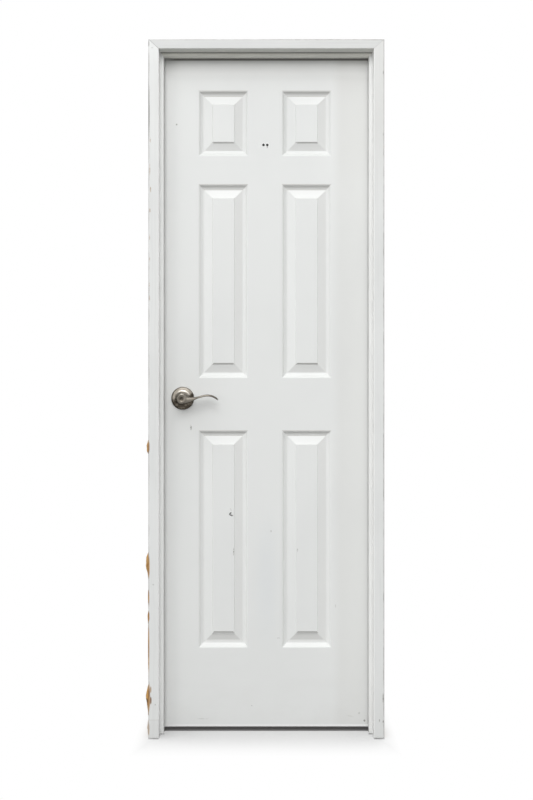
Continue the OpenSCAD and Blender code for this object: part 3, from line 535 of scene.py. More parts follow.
front_side = leaf_paint.ramp(leaf_paint.y, leaf_middle, leaf_middle - 0.004)
broken_edge = leaf_paint.ramp(leaf_paint.noise(0.004), 0.30, 0.55)
for x, z, half_wide, half_high, lean, strength in knocks:
    knock = leaf_paint.spot(x, z, half_wide, half_high, soft=0.75, lean=lean)
    mask = leaf_paint.both(knock, broken_edge, front_side)
    leaf_paint.coat(mask, scuff_dark, strength)
    leaf_paint.relief(mask, -knock_depth_mm * strength)
for x, z, half_wide, half_high, lean in deep_chips:
    stroke = leaf_paint.spot(x, z, half_wide, half_high, soft=0.4, lean=lean)
    chip = leaf_paint.both(stroke, front_side)
    leaf_paint.coat(chip, chip_black_and_hole_shade, strength=0.80)
    leaf_paint.relief(chip, millimetres=-0.4)
print("marks on the leaf:", len(knocks) + len(deep_chips))

# %% [markdown]
# Two old screw holes sit high on the middle stile, where something was torn off, and their rims were
# pressed up. The model has the holes. The paint adds a pale raised ring round each, and painted shade inside
# it.

# %% Rim the old screw holes
rim_pale = (0.875, 0.880, 0.868)
old_hole_middle = -0.003
old_hole_height = 1.7135
old_hole_apart = 0.0111
hole_rim = 0.0050
hole_edge = 0.0040

for side in (-0.5, 0.5):
    hole_x = old_hole_middle + side * old_hole_apart
    ring = leaf_paint.spot(hole_x, old_hole_height, hole_rim, hole_rim, soft=0.6)
    rim = leaf_paint.both(ring, front_side)
    leaf_paint.coat(rim, rim_pale)
    leaf_paint.relief(rim, millimetres=0.5)
    inside = leaf_paint.spot(hole_x, old_hole_height, hole_edge, hole_edge, soft=0.15)
    # Painted shade inside the hole.
    leaf_paint.coat(leaf_paint.both(inside, front_side), chip_black_and_hole_shade)
    print("old screw hole at x =", round(hole_x, 4))

# %% [markdown]
# A thin line of painted shade lies along the upper edge of each slope that faces down, where the flat field
# of the panel ends. Each row of panels has its own height, and both panels of a row share it. The ends of a
# line are mitred like the slope below it.

# %% Paint shade along the low slopes
line_grey = (0.120, 0.115, 0.100)
slope_shade_lines = [
    # height, half height, strength
    (0.2866, 0.0030, 0.62),
    (1.0735, 0.0020, 0.62),
    (1.7190, 0.0028, 0.24),
]
field_middles = (-0.1254, 0.1200)
field_half = 0.0300
mitre_soft = 0.001

for height, half_high, strength in slope_shade_lines:
    above_edge = leaf_paint.math("SUBTRACT", leaf_paint.z, height)
    off_edge = leaf_paint.math("ABSOLUTE", above_edge)
    along_edge = leaf_paint.ramp(off_edge, half_high, 0.6 * half_high)
    for middle in field_middles:
        off_middle = leaf_paint.math("ABSOLUTE", leaf_paint.math("SUBTRACT", leaf_paint.x, middle))
        off_mitre = leaf_paint.math("ADD", off_middle, above_edge)
        in_field = leaf_paint.ramp(off_mitre, field_half + mitre_soft, field_half - mitre_soft)
        leaf_paint.coat(leaf_paint.both(along_edge, in_field, front_side), line_grey, strength)
print("dirt lines drawn:", len(slope_shade_lines) * len(field_middles))

# %% [markdown]
# Along the stops the leaf is painted darker, as painted shadow in the gap: broad and dark under the head
# stop, and thin and broken along the side stops, where some dirt lies as well. Painted light keeps the leaf
# whitest below the head stop, along the strike side and in a narrow strip at the foot, a painted highlight
# on its lower edge.

# %% Paint shadow and light on the leaf along the stops
side_line_reach = (-0.0020, -0.0008)
top_line_reach = (-0.0068, -0.0036)
top_fade_reach = (-0.0160, -0.0070)
top_white_rise = (-0.060, -0.040)
top_white_fall = (-0.012, -0.024)
strike_white_reach = (-0.262, -0.294)
foot_strip = 0.0060

past_side = leaf_paint.math("SUBTRACT", leaf_paint.math("ABSOLUTE", leaf_paint.x), stop_side)
past_top = leaf_paint.math("SUBTRACT", leaf_paint.z, stop_under)
broken_line = leaf_paint.ramp(leaf_paint.noise(0.02, (1, 1, 3)), 0.10, 0.60)
side_line = leaf_paint.both(leaf_paint.ramp(past_side, *side_line_reach), broken_line)
top_line = leaf_paint.ramp(past_top, *top_line_reach)
top_fade = leaf_paint.ramp(past_top, *top_fade_reach)
top_end = leaf_paint.band(past_top, top_white_rise, top_white_fall)
strike_end = leaf_paint.ramp(leaf_paint.x, *strike_white_reach)
foot_end = leaf_paint.ramp(leaf_paint.z, leaf_foot + foot_strip, leaf_foot + 0.8 * foot_strip)
edge_coats = [
    # mask, colour, strength
    (side_line, line_grey, 0.15),
    (top_line, line_grey, 0.80),
    (top_fade, line_grey, 0.14),
    (top_end, strip_white, 0.45),
    (strike_end, strip_white, 0.48),
    (foot_end, strip_white, 1.0),
]
for mask, colour, strength in edge_coats:
    leaf_paint.coat(leaf_paint.both(mask, front_side), colour, strength)
leaf_finish = leaf_paint.done()

# %% [markdown]
# The frame was painted with a brush, so its paint has faint streaks along each board. One function paints
# any board: it is told the colour and which way the board runs. The head is painted greyer than the jambs,
# as painted shade, and the stops are painted whiter than both, as painted light.

# %% Brush the frame white
jamb_white = (0.822, 0.833, 0.822)
head_shaded_white = (0.690, 0.698, 0.688)
stop_lit_white = (0.855, 0.863, 0.850)
plaster_and_shade_grey = (0.600, 0.590, 0.560)
streak_share = 0.90
foot_dirt_top = 0.22
UPRIGHT = (1, 1, 24)
LEVEL = (24, 1, 1)


def brushed_paint(name, ground, grain):
    """Paint with streaks along the grain, a little cloudy, and dirty towards the floor."""
    paint = Finish(name, ground, roughness=0.30)
    streaks = paint.noise(0.006, grain)
    streak = tuple(streak_share * part for part in ground)
    paint.coat(paint.ramp(streaks, 0.45, 0.75), streak, strength=0.45)
    paint.coat(paint.ramp(paint.noise(0.25), 0.45, 0.70), streak, strength=0.40)
    foot = paint.ramp(paint.z, foot_dirt_top, 0.0)
    dirt = paint.ramp(paint.noise(0.05, (1, 1, 1.8)), 0.35, 0.75)
    paint.coat(paint.both(foot, dirt), plaster_and_shade_grey, strength=0.14)
    paint.relief(streaks, millimetres=0.004)
    paint.relief(paint.noise(0.0018, detail=2.0), millimetres=0.008)
    return paint


upright_paint = brushed_paint("brushed_jamb_paint", jamb_white, UPRIGHT)
level_paint = brushed_paint("brushed_head_paint", head_shaded_white, LEVEL)
side_stop_paint = brushed_paint("brushed_side_stop_paint", stop_lit_white, UPRIGHT)
head_stop_paint = brushed_paint("brushed_head_stop_paint", stop_lit_white, LEVEL)
frame_paints = (upright_paint, level_paint, side_stop_paint, head_stop_paint)
print("paints for the frame:", len(frame_paints))

# %% [markdown]
# The outer edges of the frame were plastered in. When the frame was cut loose they were left grey and
# chipped, with bare wood showing, and the hinge side came off worst. Grime and chips are both measured
# from the outer edge, and a noise moves the line in and out.

# %% Wear the outer edges
edge_grime_and_foot_shade = (0.330, 0.318, 0.300)
bare_brown = (0.400, 0.250, 0.130)
edge_band = 0.0022
chip_band = 0.0045
foot_band = 0.0030
half_blend = 0.1


def strike_half(paint):
    """1 at the strike side of the opening and 0 at the hinge side."""
    return paint.ramp(paint.x, half_blend, -half_blend)


def hinge_half(paint):
    """1 at the hinge side of the opening and 0 from its middle to the strike side."""
    return paint.ramp(paint.x, 0.0, half_blend)


def worn_edges(paint):
    from_side = paint.math("SUBTRACT", frame_side, paint.math("ABSOLUTE", paint.x))
    from_top = paint.math("SUBTRACT", frame_top, paint.z)
    from_edge = paint.math("MINIMUM", from_side, from_top)
    rough_line = paint.math("MULTIPLY", paint.noise(0.018, (1, 1, 2)), 2 * edge_band)
    grime = paint.ramp(paint.math("SUBTRACT", from_edge, rough_line), 0.0008, -0.0016)
    stretches = paint.ramp(paint.noise(0.16), 0.30, 0.65)
    paint.coat(paint.both(grime, stretches), edge_grime_and_foot_shade, strength=0.80)
    paint.coat(grime, edge_grime_and_foot_shade, strength=0.35)
    paint.coat(paint.both(grime, hinge_half(paint)), edge_grime_and_foot_shade, strength=0.65)
    # A dark band at the very foot is painted contact shade.
    paint.coat(paint.ramp(paint.z, foot_band, 0.0), edge_grime_and_foot_shade, strength=0.60)

    bite = paint.ramp(paint.noise(0.022, (1, 1, 2.4)), 0.66, 0.78)
    reach = paint.math("MULTIPLY", bite, chip_band)
    chip = paint.ramp(paint.math("SUBTRACT", from_edge, reach), 0.0, -0.0012)
    paint.coat(chip, bare_brown, strength=0.55)
    paint.rub(chip, roughness=0.75)
    paint.relief(chip, millimetres=-0.30)


for paint in frame_paints:
    worn_edges(paint)
    print(paint.material.name, "nodes so far:", len(paint.tree.nodes))

# %% [markdown]
# The faces that look into the opening, and the strike stop, are painted whiter than the front of the frame,
# as painted light. On the head it is a warmer white. The upper part of the hinge jamb is painted greyer
# than the rest, as painted shade.

# %% Paint light on the reveals and shade on the hinge jamb
reveal_light_white = (0.960, 0.964, 0.952)
warm_light_white = (0.930, 0.920, 0.840)
reveal_edge = (0.0026, 0.0010)
hinge_top_rise = (1.50, 1.80)


def on_reveal(paint):
    """1 on the faces that look into the opening, and 0 from a few millimetres outside it."""
    past_side = paint.math("SUBTRACT", paint.math("ABSOLUTE", paint.x), opening_side)
    past_top = paint.math("SUBTRACT", paint.z, opening_top)
    return paint.ramp(paint.either(past_side, past_top), *reveal_edge)


upper_part = upright_paint.ramp(upright_paint.z, *hinge_top_rise)
hinge_top = upright_paint.both(hinge_half(upright_paint), upper_part)
# Painted shade on the upper part of the hinge jamb.
upright_paint.coat(hinge_top, plaster_and_shade_grey, strength=0.33)
upright_paint.coat(on_reveal(upright_paint), reveal_light_white, strength=0.90)
level_paint.coat(on_reveal(level_paint), warm_light_white, strength=0.35)
head_stop_paint.coat(on_reveal(head_stop_paint), warm_light_white, strength=0.80)
strike_stop_side = strike_half(side_stop_paint)
side_stop_paint.coat(strike_stop_side, reveal_light_white, strength=0.90)
print("reveals end", reveal_edge[0], "m outside the opening")

# %% [markdown]
# The side stops are painted darker where they meet the leaf, and the strike stop along its inner edge:
# painted shade. Above the head stop the open joint is dark, with painted shade in its corner.

# %% Paint shade on the stops
by_leaf_reach = (stop_back - 0.012, stop_back - 0.006)
arris_reach = (-stop_side - 0.0022, -stop_side - 0.0008)
joint_reach = (opening_top - 0.0034, opening_top - 0.0018)

by_leaf = side_stop_paint.ramp(side_stop_paint.y, *by_leaf_reach)
side_stop_paint.coat(by_leaf, line_grey, strength=0.42)
strike_arris = side_stop_paint.ramp(side_stop_paint.x, *arris_reach)
side_stop_paint.coat(side_stop_paint.both(strike_arris, strike_stop_side), line_grey, strength=0.28)
open_joint = head_stop_paint.ramp(head_stop_paint.z, *joint_reach)
head_stop_paint.coat(open_joint, line_grey, strength=0.80)
side_stop_finish = side_stop_paint.done()
head_stop_finish = head_stop_paint.done()

# %% [markdown]
# A mitre that was painted over opens to a hair crack when the timber shrinks. The crack is drawn where
# the two boards meet, along the line from the inner corner to the outer one. It is faint on the hinge side
# and open on the strike side.

# %% Crack the mitres
crack_dark = (0.300, 0.294, 0.280)
crack_half = 0.0010
mitre_slope = (frame_top - opening_top) / (frame_side - opening_side)


def mitre_crack(paint):
    across = paint.math("SUBTRACT", paint.math("ABSOLUTE", paint.x), opening_side)
    along = paint.math("SUBTRACT", paint.z, opening_top)
    off_line = paint.math("SUBTRACT", along, paint.math("MULTIPLY", across, mitre_slope))
    crack = paint.ramp(paint.math("ABSOLUTE", off_line), crack_half, 0.0)
    paint.coat(crack, crack_dark, strength=0.30)
    paint.coat(paint.both(crack, strike_half(paint)), crack_dark, strength=0.70)
    paint.relief(crack, millimetres=-0.4)


for paint in (upright_paint, level_paint):
    mitre_crack(paint)
level_finish = level_paint.done()

# %% [markdown]
# Near the foot of the strike jamb the white paint stops at a line: the last five centimetres were once
# covered. Below the line the paint is greyer, and a trace of plaster marks the line itself.

# %% Draw the foot line
foot_grey = (0.700, 0.706, 0.700)
foot_line_height = 0.0522
foot_line_half = 0.0016
foot_line_soft = 0.002

on_strike_jamb = strike_half(upright_paint)
below_line = upright_paint.ramp(upright_paint.z, foot_line_height, foot_line_height - foot_line_soft)
upright_paint.coat(upright_paint.both(below_line, on_strike_jamb), foot_grey, strength=0.35)
line_off = upright_paint.math("SUBTRACT", upright_paint.z, foot_line_height)
foot_line = upright_paint.ramp(upright_paint.math("ABSOLUTE", line_off), foot_line_half, 0.0)
upright_paint.coat(upright_paint.both(foot_line, on_strike_jamb), plaster_and_shade_grey, strength=0.6)
print("foot line at z =", foot_line_height)

# %% [markdown]
# The jambs have their own marks on the front face. There are knocks, a black stretch and a black corner at
# the top of the strike side, flecks of bare wood below that, and smears of brown foam along the lower half.
# Every mark is a soft spot, so one function lays any of the four lists.

# %% Knock, chip and smear the jambs
foam_gold = (0.560, 0.305, 0.085)
foam_burnt = (0.200, 0.090, 0.028)
# Each row: x, z, half width, half height, strength
jamb_knocks = [
    (-0.3186, 0.0957, 0.0030, 0.0040, 0.55),
    (-0.3240, 0.4400, 0.0040, 0.0035, 0.28),
    (-0.3270, 1.9780, 0.0042, 0.0026, 0.30),
    (0.3241, 0.0507, 0.0026, 0.0060, 0.60),
    (0.3345, 0.0480, 0.0030, 0.0060, 0.80),
    (0.3345, 0.1140, 0.0024, 0.0220, 0.80),
    (0.3350, 1.9070, 0.0022, 0.0070, 0.60),
    (0.3350, 1.7300, 0.0016, 0.0060, 0.50),
]
black_edges = [
    (-0.3384, 1.7900, 0.0050, 0.1200, 1.00),
    (-0.3384, 1.9900, 0.0036, 0.0130, 1.00),
]
bare_flecks = [
    (-0.3325, 1.7135, 0.0024, 0.0090, 0.65),
    (-0.3340, 1.6300, 0.0022, 0.0230, 0.55),
    (-0.3318, 1.5725, 0.0026, 0.0110, 0.80),
    (-0.3335, 1.5120, 0.0026, 0.0080, 0.70),
    (-0.3345, 1.4350, 0.0022, 0.0110, 0.55),
    (-0.3345, 1.3720, 0.0022, 0.0110, 0.45),
    (-0.3350, 1.2990, 0.0020, 0.0090, 0.45),
    (-0.3345, 1.2610, 0.0022, 0.0100, 0.55),
]
foam_smears = [
    (-0.3360, 0.8340, 0.0022, 0.0190, 0.70),
    (-0.3360, 0.4910, 0.0026, 0.0380, 0.80),
    (-0.3368, 0.4000, 0.0020, 0.0300, 0.85),
    (-0.3366, 0.3490, 0.0024, 0.0180, 0.95),
    (-0.3368, 0.2550, 0.0020, 0.0900, 0.90),
    (-0.3355, 0.1180, 0.0030, 0.0480, 0.90),
    (-0.3312, 0.1390, 0.0024, 0.0120, 0.80),
    (-0.3312, 0.1080, 0.0032, 0.0140, 0.90),
    (-0.3366, 0.0260, 0.0020, 0.0220, 0.60),
]

smear_mix = upright_paint.ramp(upright_paint.noise(0.006, (1, 1, 4)), 0.35, 0.65)
smear_layers = {0: smear_mix, 6: (*foam_burnt, 1), 7: (*foam_gold, 1)}
smear_colour = upright_paint.add("Mix", smear_layers, data_type="RGBA").outputs[2]
jamb_edge = upright_paint.ramp(upright_paint.noise(0.004), 0.30, 0.55)
jamb_face = upright_paint.ramp(upright_paint.y, 0.0, -0.01)


def lay_marks(rows, colour, masks, soft):
    for x, z, half_wide, half_high, strength in rows:
        spot = upright_paint.spot(x, z, half_wide, half_high, soft)
        upright_paint.coat(upright_paint.both(spot, *masks), colour, strength)


lay_marks(jamb_knocks, scuff_dark, [jamb_edge, jamb_face], soft=0.75)
lay_marks(black_edges, line_grey, [jamb_face], soft=0.6)
lay_marks(bare_flecks, bare_brown, [jamb_edge, jamb_face], soft=0.75)
lay_marks(foam_smears, smear_colour, [jamb_face], soft=0.5)
upright_finish = upright_paint.done()

# %% [markdown]
# Where no brush reached, the timber is bare: the outer sides of the frame, and the rim inside the leaf.
# Softwood has pale early wood and narrow darker late wood, drawn out along the board. Plaster and
# overspill of paint cling to the outer sides near their edges.

# %% Leave the hidden timber bare
early_wood = (0.610, 0.440, 0.265)
late_wood = (0.400, 0.245, 0.120)
weathered = (0.430, 0.385, 0.325)
ring_count = 7.0
spill_reach = 0.020
spill_soft = 0.003


def bare_softwood(name, grain):
    wood = Finish(name, early_wood, roughness=0.72)
    rings = wood.noise(0.010, grain, detail=3.0)
    bands = wood.math("PINGPONG", wood.math("MULTIPLY", rings, ring_count), 1.0)
    wood.coat(wood.ramp(bands, 0.55, 0.95), late_wood, strength=0.60)
    wood.coat(wood.ramp(wood.noise(0.09), 0.40, 0.75), weathered, strength=0.50)
    fibres = wood.noise(0.0012, grain, detail=2.0)
    wood.coat(fibres, late_wood, strength=0.25)
    to_front = wood.math("SUBTRACT", wood.y, frame_front)
    to_back = wood.math("SUBTRACT", frame_back, wood.y)
    to_arris = wood.math("MINIMUM", to_front, to_back)
    spill = wood.math("MULTIPLY", wood.noise(0.03), spill_reach)
    past_spill = wood.math("SUBTRACT", to_arris, spill)
    wood.coat(wood.ramp(past_spill, 0.0, -spill_soft), plaster_and_shade_grey, strength=0.80)
    wood.relief(fibres, millimetres=0.15)
    wood.relief(bands, millimetres=0.08)
    return wood.done()


upright_wood = bare_softwood("bare_upright_softwood", UPRIGHT)
level_wood = bare_softwood("bare_level_softwood", LEVEL)

# %% [markdown]
# The lever set, the hinges and the latch have a satin nickel plate, with a brown tarnish grown on it in
# patches. The plate was brushed before it was lacquered, so its roughness is streaked more finely than the
# eye can count.

# %% Plate the fittings
nickel_grey = (0.340, 0.305, 0.262)
lever_grey = (0.165, 0.150, 0.128)
rose_pale = (0.310, 0.282, 0.243)
tarnish_and_shade_brown = (0.045, 0.037, 0.028)
highlight_pale = (0.590, 0.562, 0.512)


def nickel_plate(name, ground, tarnish):
    plate = Finish(name, ground, roughness=0.34, metallic=1.0)
    brushed = plate.noise(0.0006, (1, 1, 10), detail=2.0)
    patches = plate.ramp(plate.noise(0.014), 0.38, 0.70)
    plate.coat(patches, tarnish_and_shade_brown, tarnish)
    plate.coat(plate.ramp(plate.noise(0.004), 0.62, 0.80), tarnish_and_shade_brown, 0.6 * tarnish)
    plate.rub(patches, roughness=0.46)
    plate.rub(plate.math("MULTIPLY", brushed, 0.5), roughness=0.28)
    plate.relief(brushed, millimetres=0.012)
    plate.across = plate.math("SUBTRACT", plate.x, lever_x)
    plate.upward = plate.math("SUBTRACT", plate.z, lever_z)
    return plate


hinge_nickel = nickel_plate("hinge_satin_nickel", nickel_grey, tarnish=0.30).done()

# %% [markdown]
# On a rose light and shade are painted in. Its top stays pale, with a painted highlight in a crescent where
# the flare turns up to the lever. Its lower half is painted brown and spotty, as painted shade. The line
# between the two climbs a little to the right.

# %% Paint shade on the lower half of the roses
shade_climb = 0.26
shade_rise = 0.005
ragged_by = 0.008
shade_edge = (0.009, -0.003)
mottle_pale = (0.165, 0.146, 0.118)

rose_plate = nickel_plate("shaded_and_tarnished_rose_nickel", rose_pale, tarnish=0.20)
climb = rose_plate.math("MULTIPLY", rose_plate.across, shade_climb)
height = rose_plate.math("SUBTRACT", rose_plate.math("SUBTRACT", rose_plate.upward, climb), shade_rise)
ragged = rose_plate.math("MULTIPLY", rose_plate.noise(0.010), ragged_by)
shade = rose_plate.ramp(rose_plate.math("ADD", height, ragged), *shade_edge)
rose_plate.coat(shade, tarnish_and_shade_brown, strength=0.95)
mottle = rose_plate.ramp(rose_plate.noise(0.0058), 0.52, 0.66)
rose_plate.coat(rose_plate.both(shade, mottle), mottle_pale, strength=0.80)
print("rose nodes so far:", len(rose_plate.tree.nodes))

# %% [markdown]
# The crescent is a painted highlight: a ring, cut off below and on the left by two more masks. Two dark
# spots of painted shade complete the rose: one in the corner above the neck of the lever, and one under the
# neck, as its shadow.

# %% Paint a highlight crescent on the roses
crescent_in = 0.0195
crescent_out = 0.0248
crescent_low = 0.0090
crescent_left = (-0.020, -0.012)
# x, z, half width, half height
corner_spot = (lever_x + 0.0275, lever_z + 0.0080, 0.0060, 0.0095)
neck_spot = (lever_x + 0.0170, lever_z - 0.0110, 0.0150, 0.0055)

rose_flat = rose_plate.add("CombineXYZ", {"X": rose_plate.across, "Y": rose_plate.upward}).outputs[0]
ring = rose_plate.add("VectorMath", {0: rose_flat}, operation="LENGTH").outputs["Value"]
crescent = rose_plate.both(
    rose_plate.ramp(ring, crescent_in, crescent_in + 0.0020),
    rose_plate.ramp(ring, crescent_out, crescent_out - 0.0025),
    rose_plate.ramp(rose_plate.upward, crescent_low, crescent_low + 0.003),
    rose_plate.ramp(rose_plate.across, *crescent_left),
)
rose_plate.coat(crescent, highlight_pale, strength=0.66)
rose_plate.coat(rose_plate.spot(*corner_spot, soft=0.6), tarnish_and_shade_brown, strength=0.90)
rose_plate.coat(rose_plate.spot(*neck_spot, soft=0.6, lean=-14), tarnish_and_shade_brown, strength=0.85)
rose_nickel = rose_plate.done()

# %% [markdown]
# The lever is rubbed by hands along its whole length, so it keeps an even grey. The dish in the hub and
# the end of the blade are darker: nothing cleans the one, and the other has lost its plate. The brow of the
# hub is the brightest part, a painted highlight, and the neck is painted pale as painted light.

# %% Rub the levers and paint their highlights
dish_half = 0.0070
brow_rise = (0.0100, 0.0150)
brow_end = (0.024, 0.012)
neck_rise = (0.006, 0.014)
neck_fall = (0.052, 0.030)
blade_start = (0.040, 0.056)
blade_end = (0.078, 0.104)

lever_plate = nickel_plate("rubbed_and_highlit_lever_nickel", lever_grey, tarnish=0.25)
dish = lever_plate.spot(lever_x, lever_z, dish_half, dish_half, soft=0.35)
lever_plate.coat(dish, tarnish_and_shade_brown, strength=0.75)
above_dish = lever_plate.ramp(lever_plate.upward, *brow_rise)
over_hub = lever_plate.ramp(lever_plate.across, *brow_end)
lever_plate.coat(lever_plate.both(above_dish, over_hub), highlight_pale, strength=0.60)
neck = lever_plate.band(lever_plate.across, neck_rise, neck_fall)
lever_plate.coat(neck, rose_pale, strength=0.45)
lever_plate.rub(neck, roughness=0.50)
lever_plate.coat(lever_plate.ramp(lever_plate.across, *blade_start), rose_pale, strength=0.32)
lever_plate.coat(lever_plate.ramp(lever_plate.across, *blade_end), tarnish_and_shade_brown, strength=0.60)
lever_nickel = lever_plate.done()

# %% [markdown]
# Hidden screws, springs, the spindle and the latch case are zinc-plated steel: bluish, duller, with a
# crystal mottling. The honeycomb inside the leaf is brown kraft paper. Both show only when the door is
# taken apart, or through a hole, and still each has its own surface.

# %% Zinc for the steel, kraft for the core
zinc_blue = (0.560, 0.575, 0.600)
zinc_dull = (0.360, 0.360, 0.355)
kraft_brown = (0.420, 0.300, 0.180)
kraft_dark = (0.270, 0.180, 0.100)

zinc = Finish("zinc_plated_steel", zinc_blue, roughness=0.36, metallic=1.0)
zinc_patches = zinc.ramp(zinc.noise(0.005), 0.40, 0.65)
zinc.coat(zinc_patches, zinc_dull, strength=0.7)
zinc.rub(zinc_patches, roughness=0.52)
zinc.relief(zinc.noise(0.0010, detail=2.0), millimetres=0.015)
zinc_finish = zinc.done()

kraft = Finish("kraft_paper", kraft_brown, roughness=0.85)
pulp = kraft.noise(0.0030, (1, 1, 3))
kraft.coat(kraft.ramp(pulp, 0.45, 0.70), kraft_dark, strength=0.6)
kraft.relief(pulp, millimetres=0.10)
kraft_finish = kraft.done()

# %% [markdown]
# The pieces are sorted by what they are made of. Boards that run level take the level brush marks and the
# level grain, and uprights the others. The many pieces of the hinges, and the springs, are picked out of
# the model by their names.

# %% Sort the pieces by material
jambs = ["strike_jamb", "hinge_jamb"]
side_stops = ["strike_stop", "hinge_stop"]
rim_uprights = ["lock_stile", "hinge_stile", "lock_block"]
rim_levels = ["top_rail", "foot_rail"]
skins = ["front_skin", "back_skin"]
roses = ["front_rose", "back_rose"]
levers = ["front_lever", "back_lever", "privacy_button"]
hinge_metal = ["strike_plate", "strike_screws", "latch_faceplate", "latch_screws", "latch_bolt"]
hinge_metal += [name for name in nodes if "_jamb_leaf" in name or "_door_leaf" in name]
hinge_metal += [name for name in nodes if name.endswith("_pin") or "_hinge_screws" in name]
steel_pieces = ["corner_screws", "stop_brads", "front_plate", "back_plate", "through_screws", "spindle"]
steel_pieces += ["grub_screws", "latch_case"]
steel_pieces += [name for name in nodes if name.endswith("_spring")]
print("nickel pieces:", len(roses + levers + hinge_metal), "and steel pieces:", len(steel_pieces))

# %% [markdown]
# Now each piece gets its finish. Most boards have two of them: paint, and bare wood where no brush
# reached. The first one goes to every face, and the next step picks the faces that take the second. The
# foam comes later, with a finish of its own.

# %% Hand out the finishes
dressed = []


def dress(names, *finishes):
    for name in names:
        mesh = nodes[name].data
        mesh.materials.clear()
        for finish in finishes:
            mesh.materials.append(finish)
    dressed.extend(names)


dress(jambs, upright_finish, upright_wood)
dress(["head_jamb"], level_finish, level_wood)
dress(side_stops, side_stop_finish, upright_wood)
dress(["head_stop"], head_stop_finish)
dress(rim_uprights, upright_wood, leaf_finish)
dress(rim_levels, level_wood, leaf_finish)
dress(skins, leaf_finish)
dress(roses, rose_nickel)
dress(levers, lever_nickel)
dress(hinge_metal, hinge_nickel)
dress(steel_pieces, zinc_finish)
dress(["paper_core"], kraft_finish)
print("pieces dressed:", len(dressed), "of", len(nodes))

# %% [markdown]
# A face is told apart by where its middle lies. On the frame, faces in the outermost plane and under the
# feet are bare. On the rim of the leaf it is the other way round: everything is bare timber, apart from the
# two long edges, which were painted with the faces.

# %% Tell bare faces and painted edges apart
plane_slack = 0.0002


def second_finish(name, belongs):
    """Gives the second finish of a piece to each face whose middle belongs to it."""
    count = 0
    for face in nodes[name].data.polygons:
        if belongs(face.center):
            face.material_index = 1
            count += 1
    print(name, "faces in its second finish:", count)


def on_bare_side(middle):
    outer_side = abs(middle.x) > frame_side - plane_slack
    outer_top = middle.z > frame_top - plane_slack
    under_foot = middle.z < plane_slack
    return outer_side or outer_top or under_foot


def on_long_edge(middle):
    return abs(middle.x) > leaf_side - plane_slack


for name in jambs + ["head_jamb"] + side_stops:
    second_finish(name, on_bare_side)
for name in ("lock_stile", "hinge_stile"):
    second_finish(name, on_long_edge)

# %% [markdown]
# The levers and springs came as many small flat faces. They are made smooth by welding the doubled
# corners and letting the shading run over every edge that isn't a real corner. The shape itself stays as it
# was built: only the light slides over it.

# %% Smooth the lofted pieces
weld_reach = 0.00001
real_corner = math.radians(38)


def smooth_over(piece):
    for face in piece.data.polygons:
        face.use_smooth = True
    kept_normals = piece.data.attributes.get("custom_normal")
    if kept_normals:
        piece.data.attributes.remove(kept_normals)
    weld = piece.modifiers.new("weld", "WELD")
    weld.merge_threshold = weld_reach
    corners = piece.modifiers.new("corners", "EDGE_SPLIT")
    corners.split_angle = real_corner
    corners.use_edge_sharp = False


lofted = ["front_lever", "back_lever", "front_return_spring", "back_return_spring"]
for name in lofted:
    smooth_over(nodes[name])
print("smoothed:", lofted)

# %% [markdown]
# When the lever draws the bolt back, the coil behind the bolt is pressed together. A copy of the coil
# stands for it and rides in the leaf, and the piece from the model is hidden. A rigid coil would be run
# through, so a copy stands for it.

coil = bpy.data.objects.new("latch_coil", nodes["latch_spring"].data.copy())
bpy.context.scene.collection.objects.link(coil)
smooth_over(coil)
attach(coil, "leaf")
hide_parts("latch_spring")
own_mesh(coil)

# %% [markdown]
# The foam that held the frame in place was torn through when the frame came out, and lumps of it still
# sit on the strike jamb. Hardened foam has a tough skin with a few burst bubbles. The plain lumps of the
# model are copied and meshed finely. Beads along the lumps let them lap over the rounded edge of the
# jamb, which hides the seam between foam and paint.

# %% Copy and mesh the old foam
foam_cell = 0.0010
bead_half_wide = 0.0032
bead_half_deep = 0.0022
beads = [
    # middle height, half length
    (0.834, 0.020),
    (0.491, 0.039),
    (0.405, 0.022),
    (0.345, 0.020),
    (0.262, 0.070),
    (0.112, 0.043),
    (0.080, 0.017),
    (0.027, 0.020),
]

foam_shape = bmesh.new()
foam_shape.from_mesh(nodes["foam_residue"].data)
for height, half_long in beads:
    middle = Matrix.Translation((-frame_side, frame_front + bead_half_deep, height))
    size = Matrix.Diagonal((bead_half_wide, bead_half_deep, half_long, 1))
    bmesh.ops.create_icosphere(foam_shape, subdivisions=3, radius=1.0, matrix=middle @ size)
foam_mesh = bpy.data.meshes.new("foam_lumps")
foam_shape.to_mesh(foam_mesh)
foam_shape.free()
foam = bpy.data.objects.new("old_foam", foam_mesh)
bpy.context.scene.collection.objects.link(foam)
remesh = foam.modifiers.new("fine", "REMESH")
remesh.mode = "VOXEL"
remesh.voxel_size = foam_cell
smooth = foam.modifiers.new("smooth", "SMOOTH")
smooth.iterations = 3
bpy.context.view_layer.update()
evaluated = foam.evaluated_get(bpy.context.evaluated_depsgraph_get())
fine_mesh = bpy.data.meshes.new_from_object(evaluated)
foam.modifiers.clear()
foam.data = fine_mesh
bpy.data.meshes.remove(foam_mesh)
fine_mesh.name = "old_foam"
print("foam triangles:", 2 * len(fine_mesh.polygons))

# %% [markdown]
# Shallow bubbles and ripples are pushed into the skin first. Then the outline is drawn in from a list: at
# these heights, this share of the thickness is left. Most lumps swell in one place and run out thin below
# it, as foam does that sags before it sets. Both steps take foam away, so it never grows past its place.

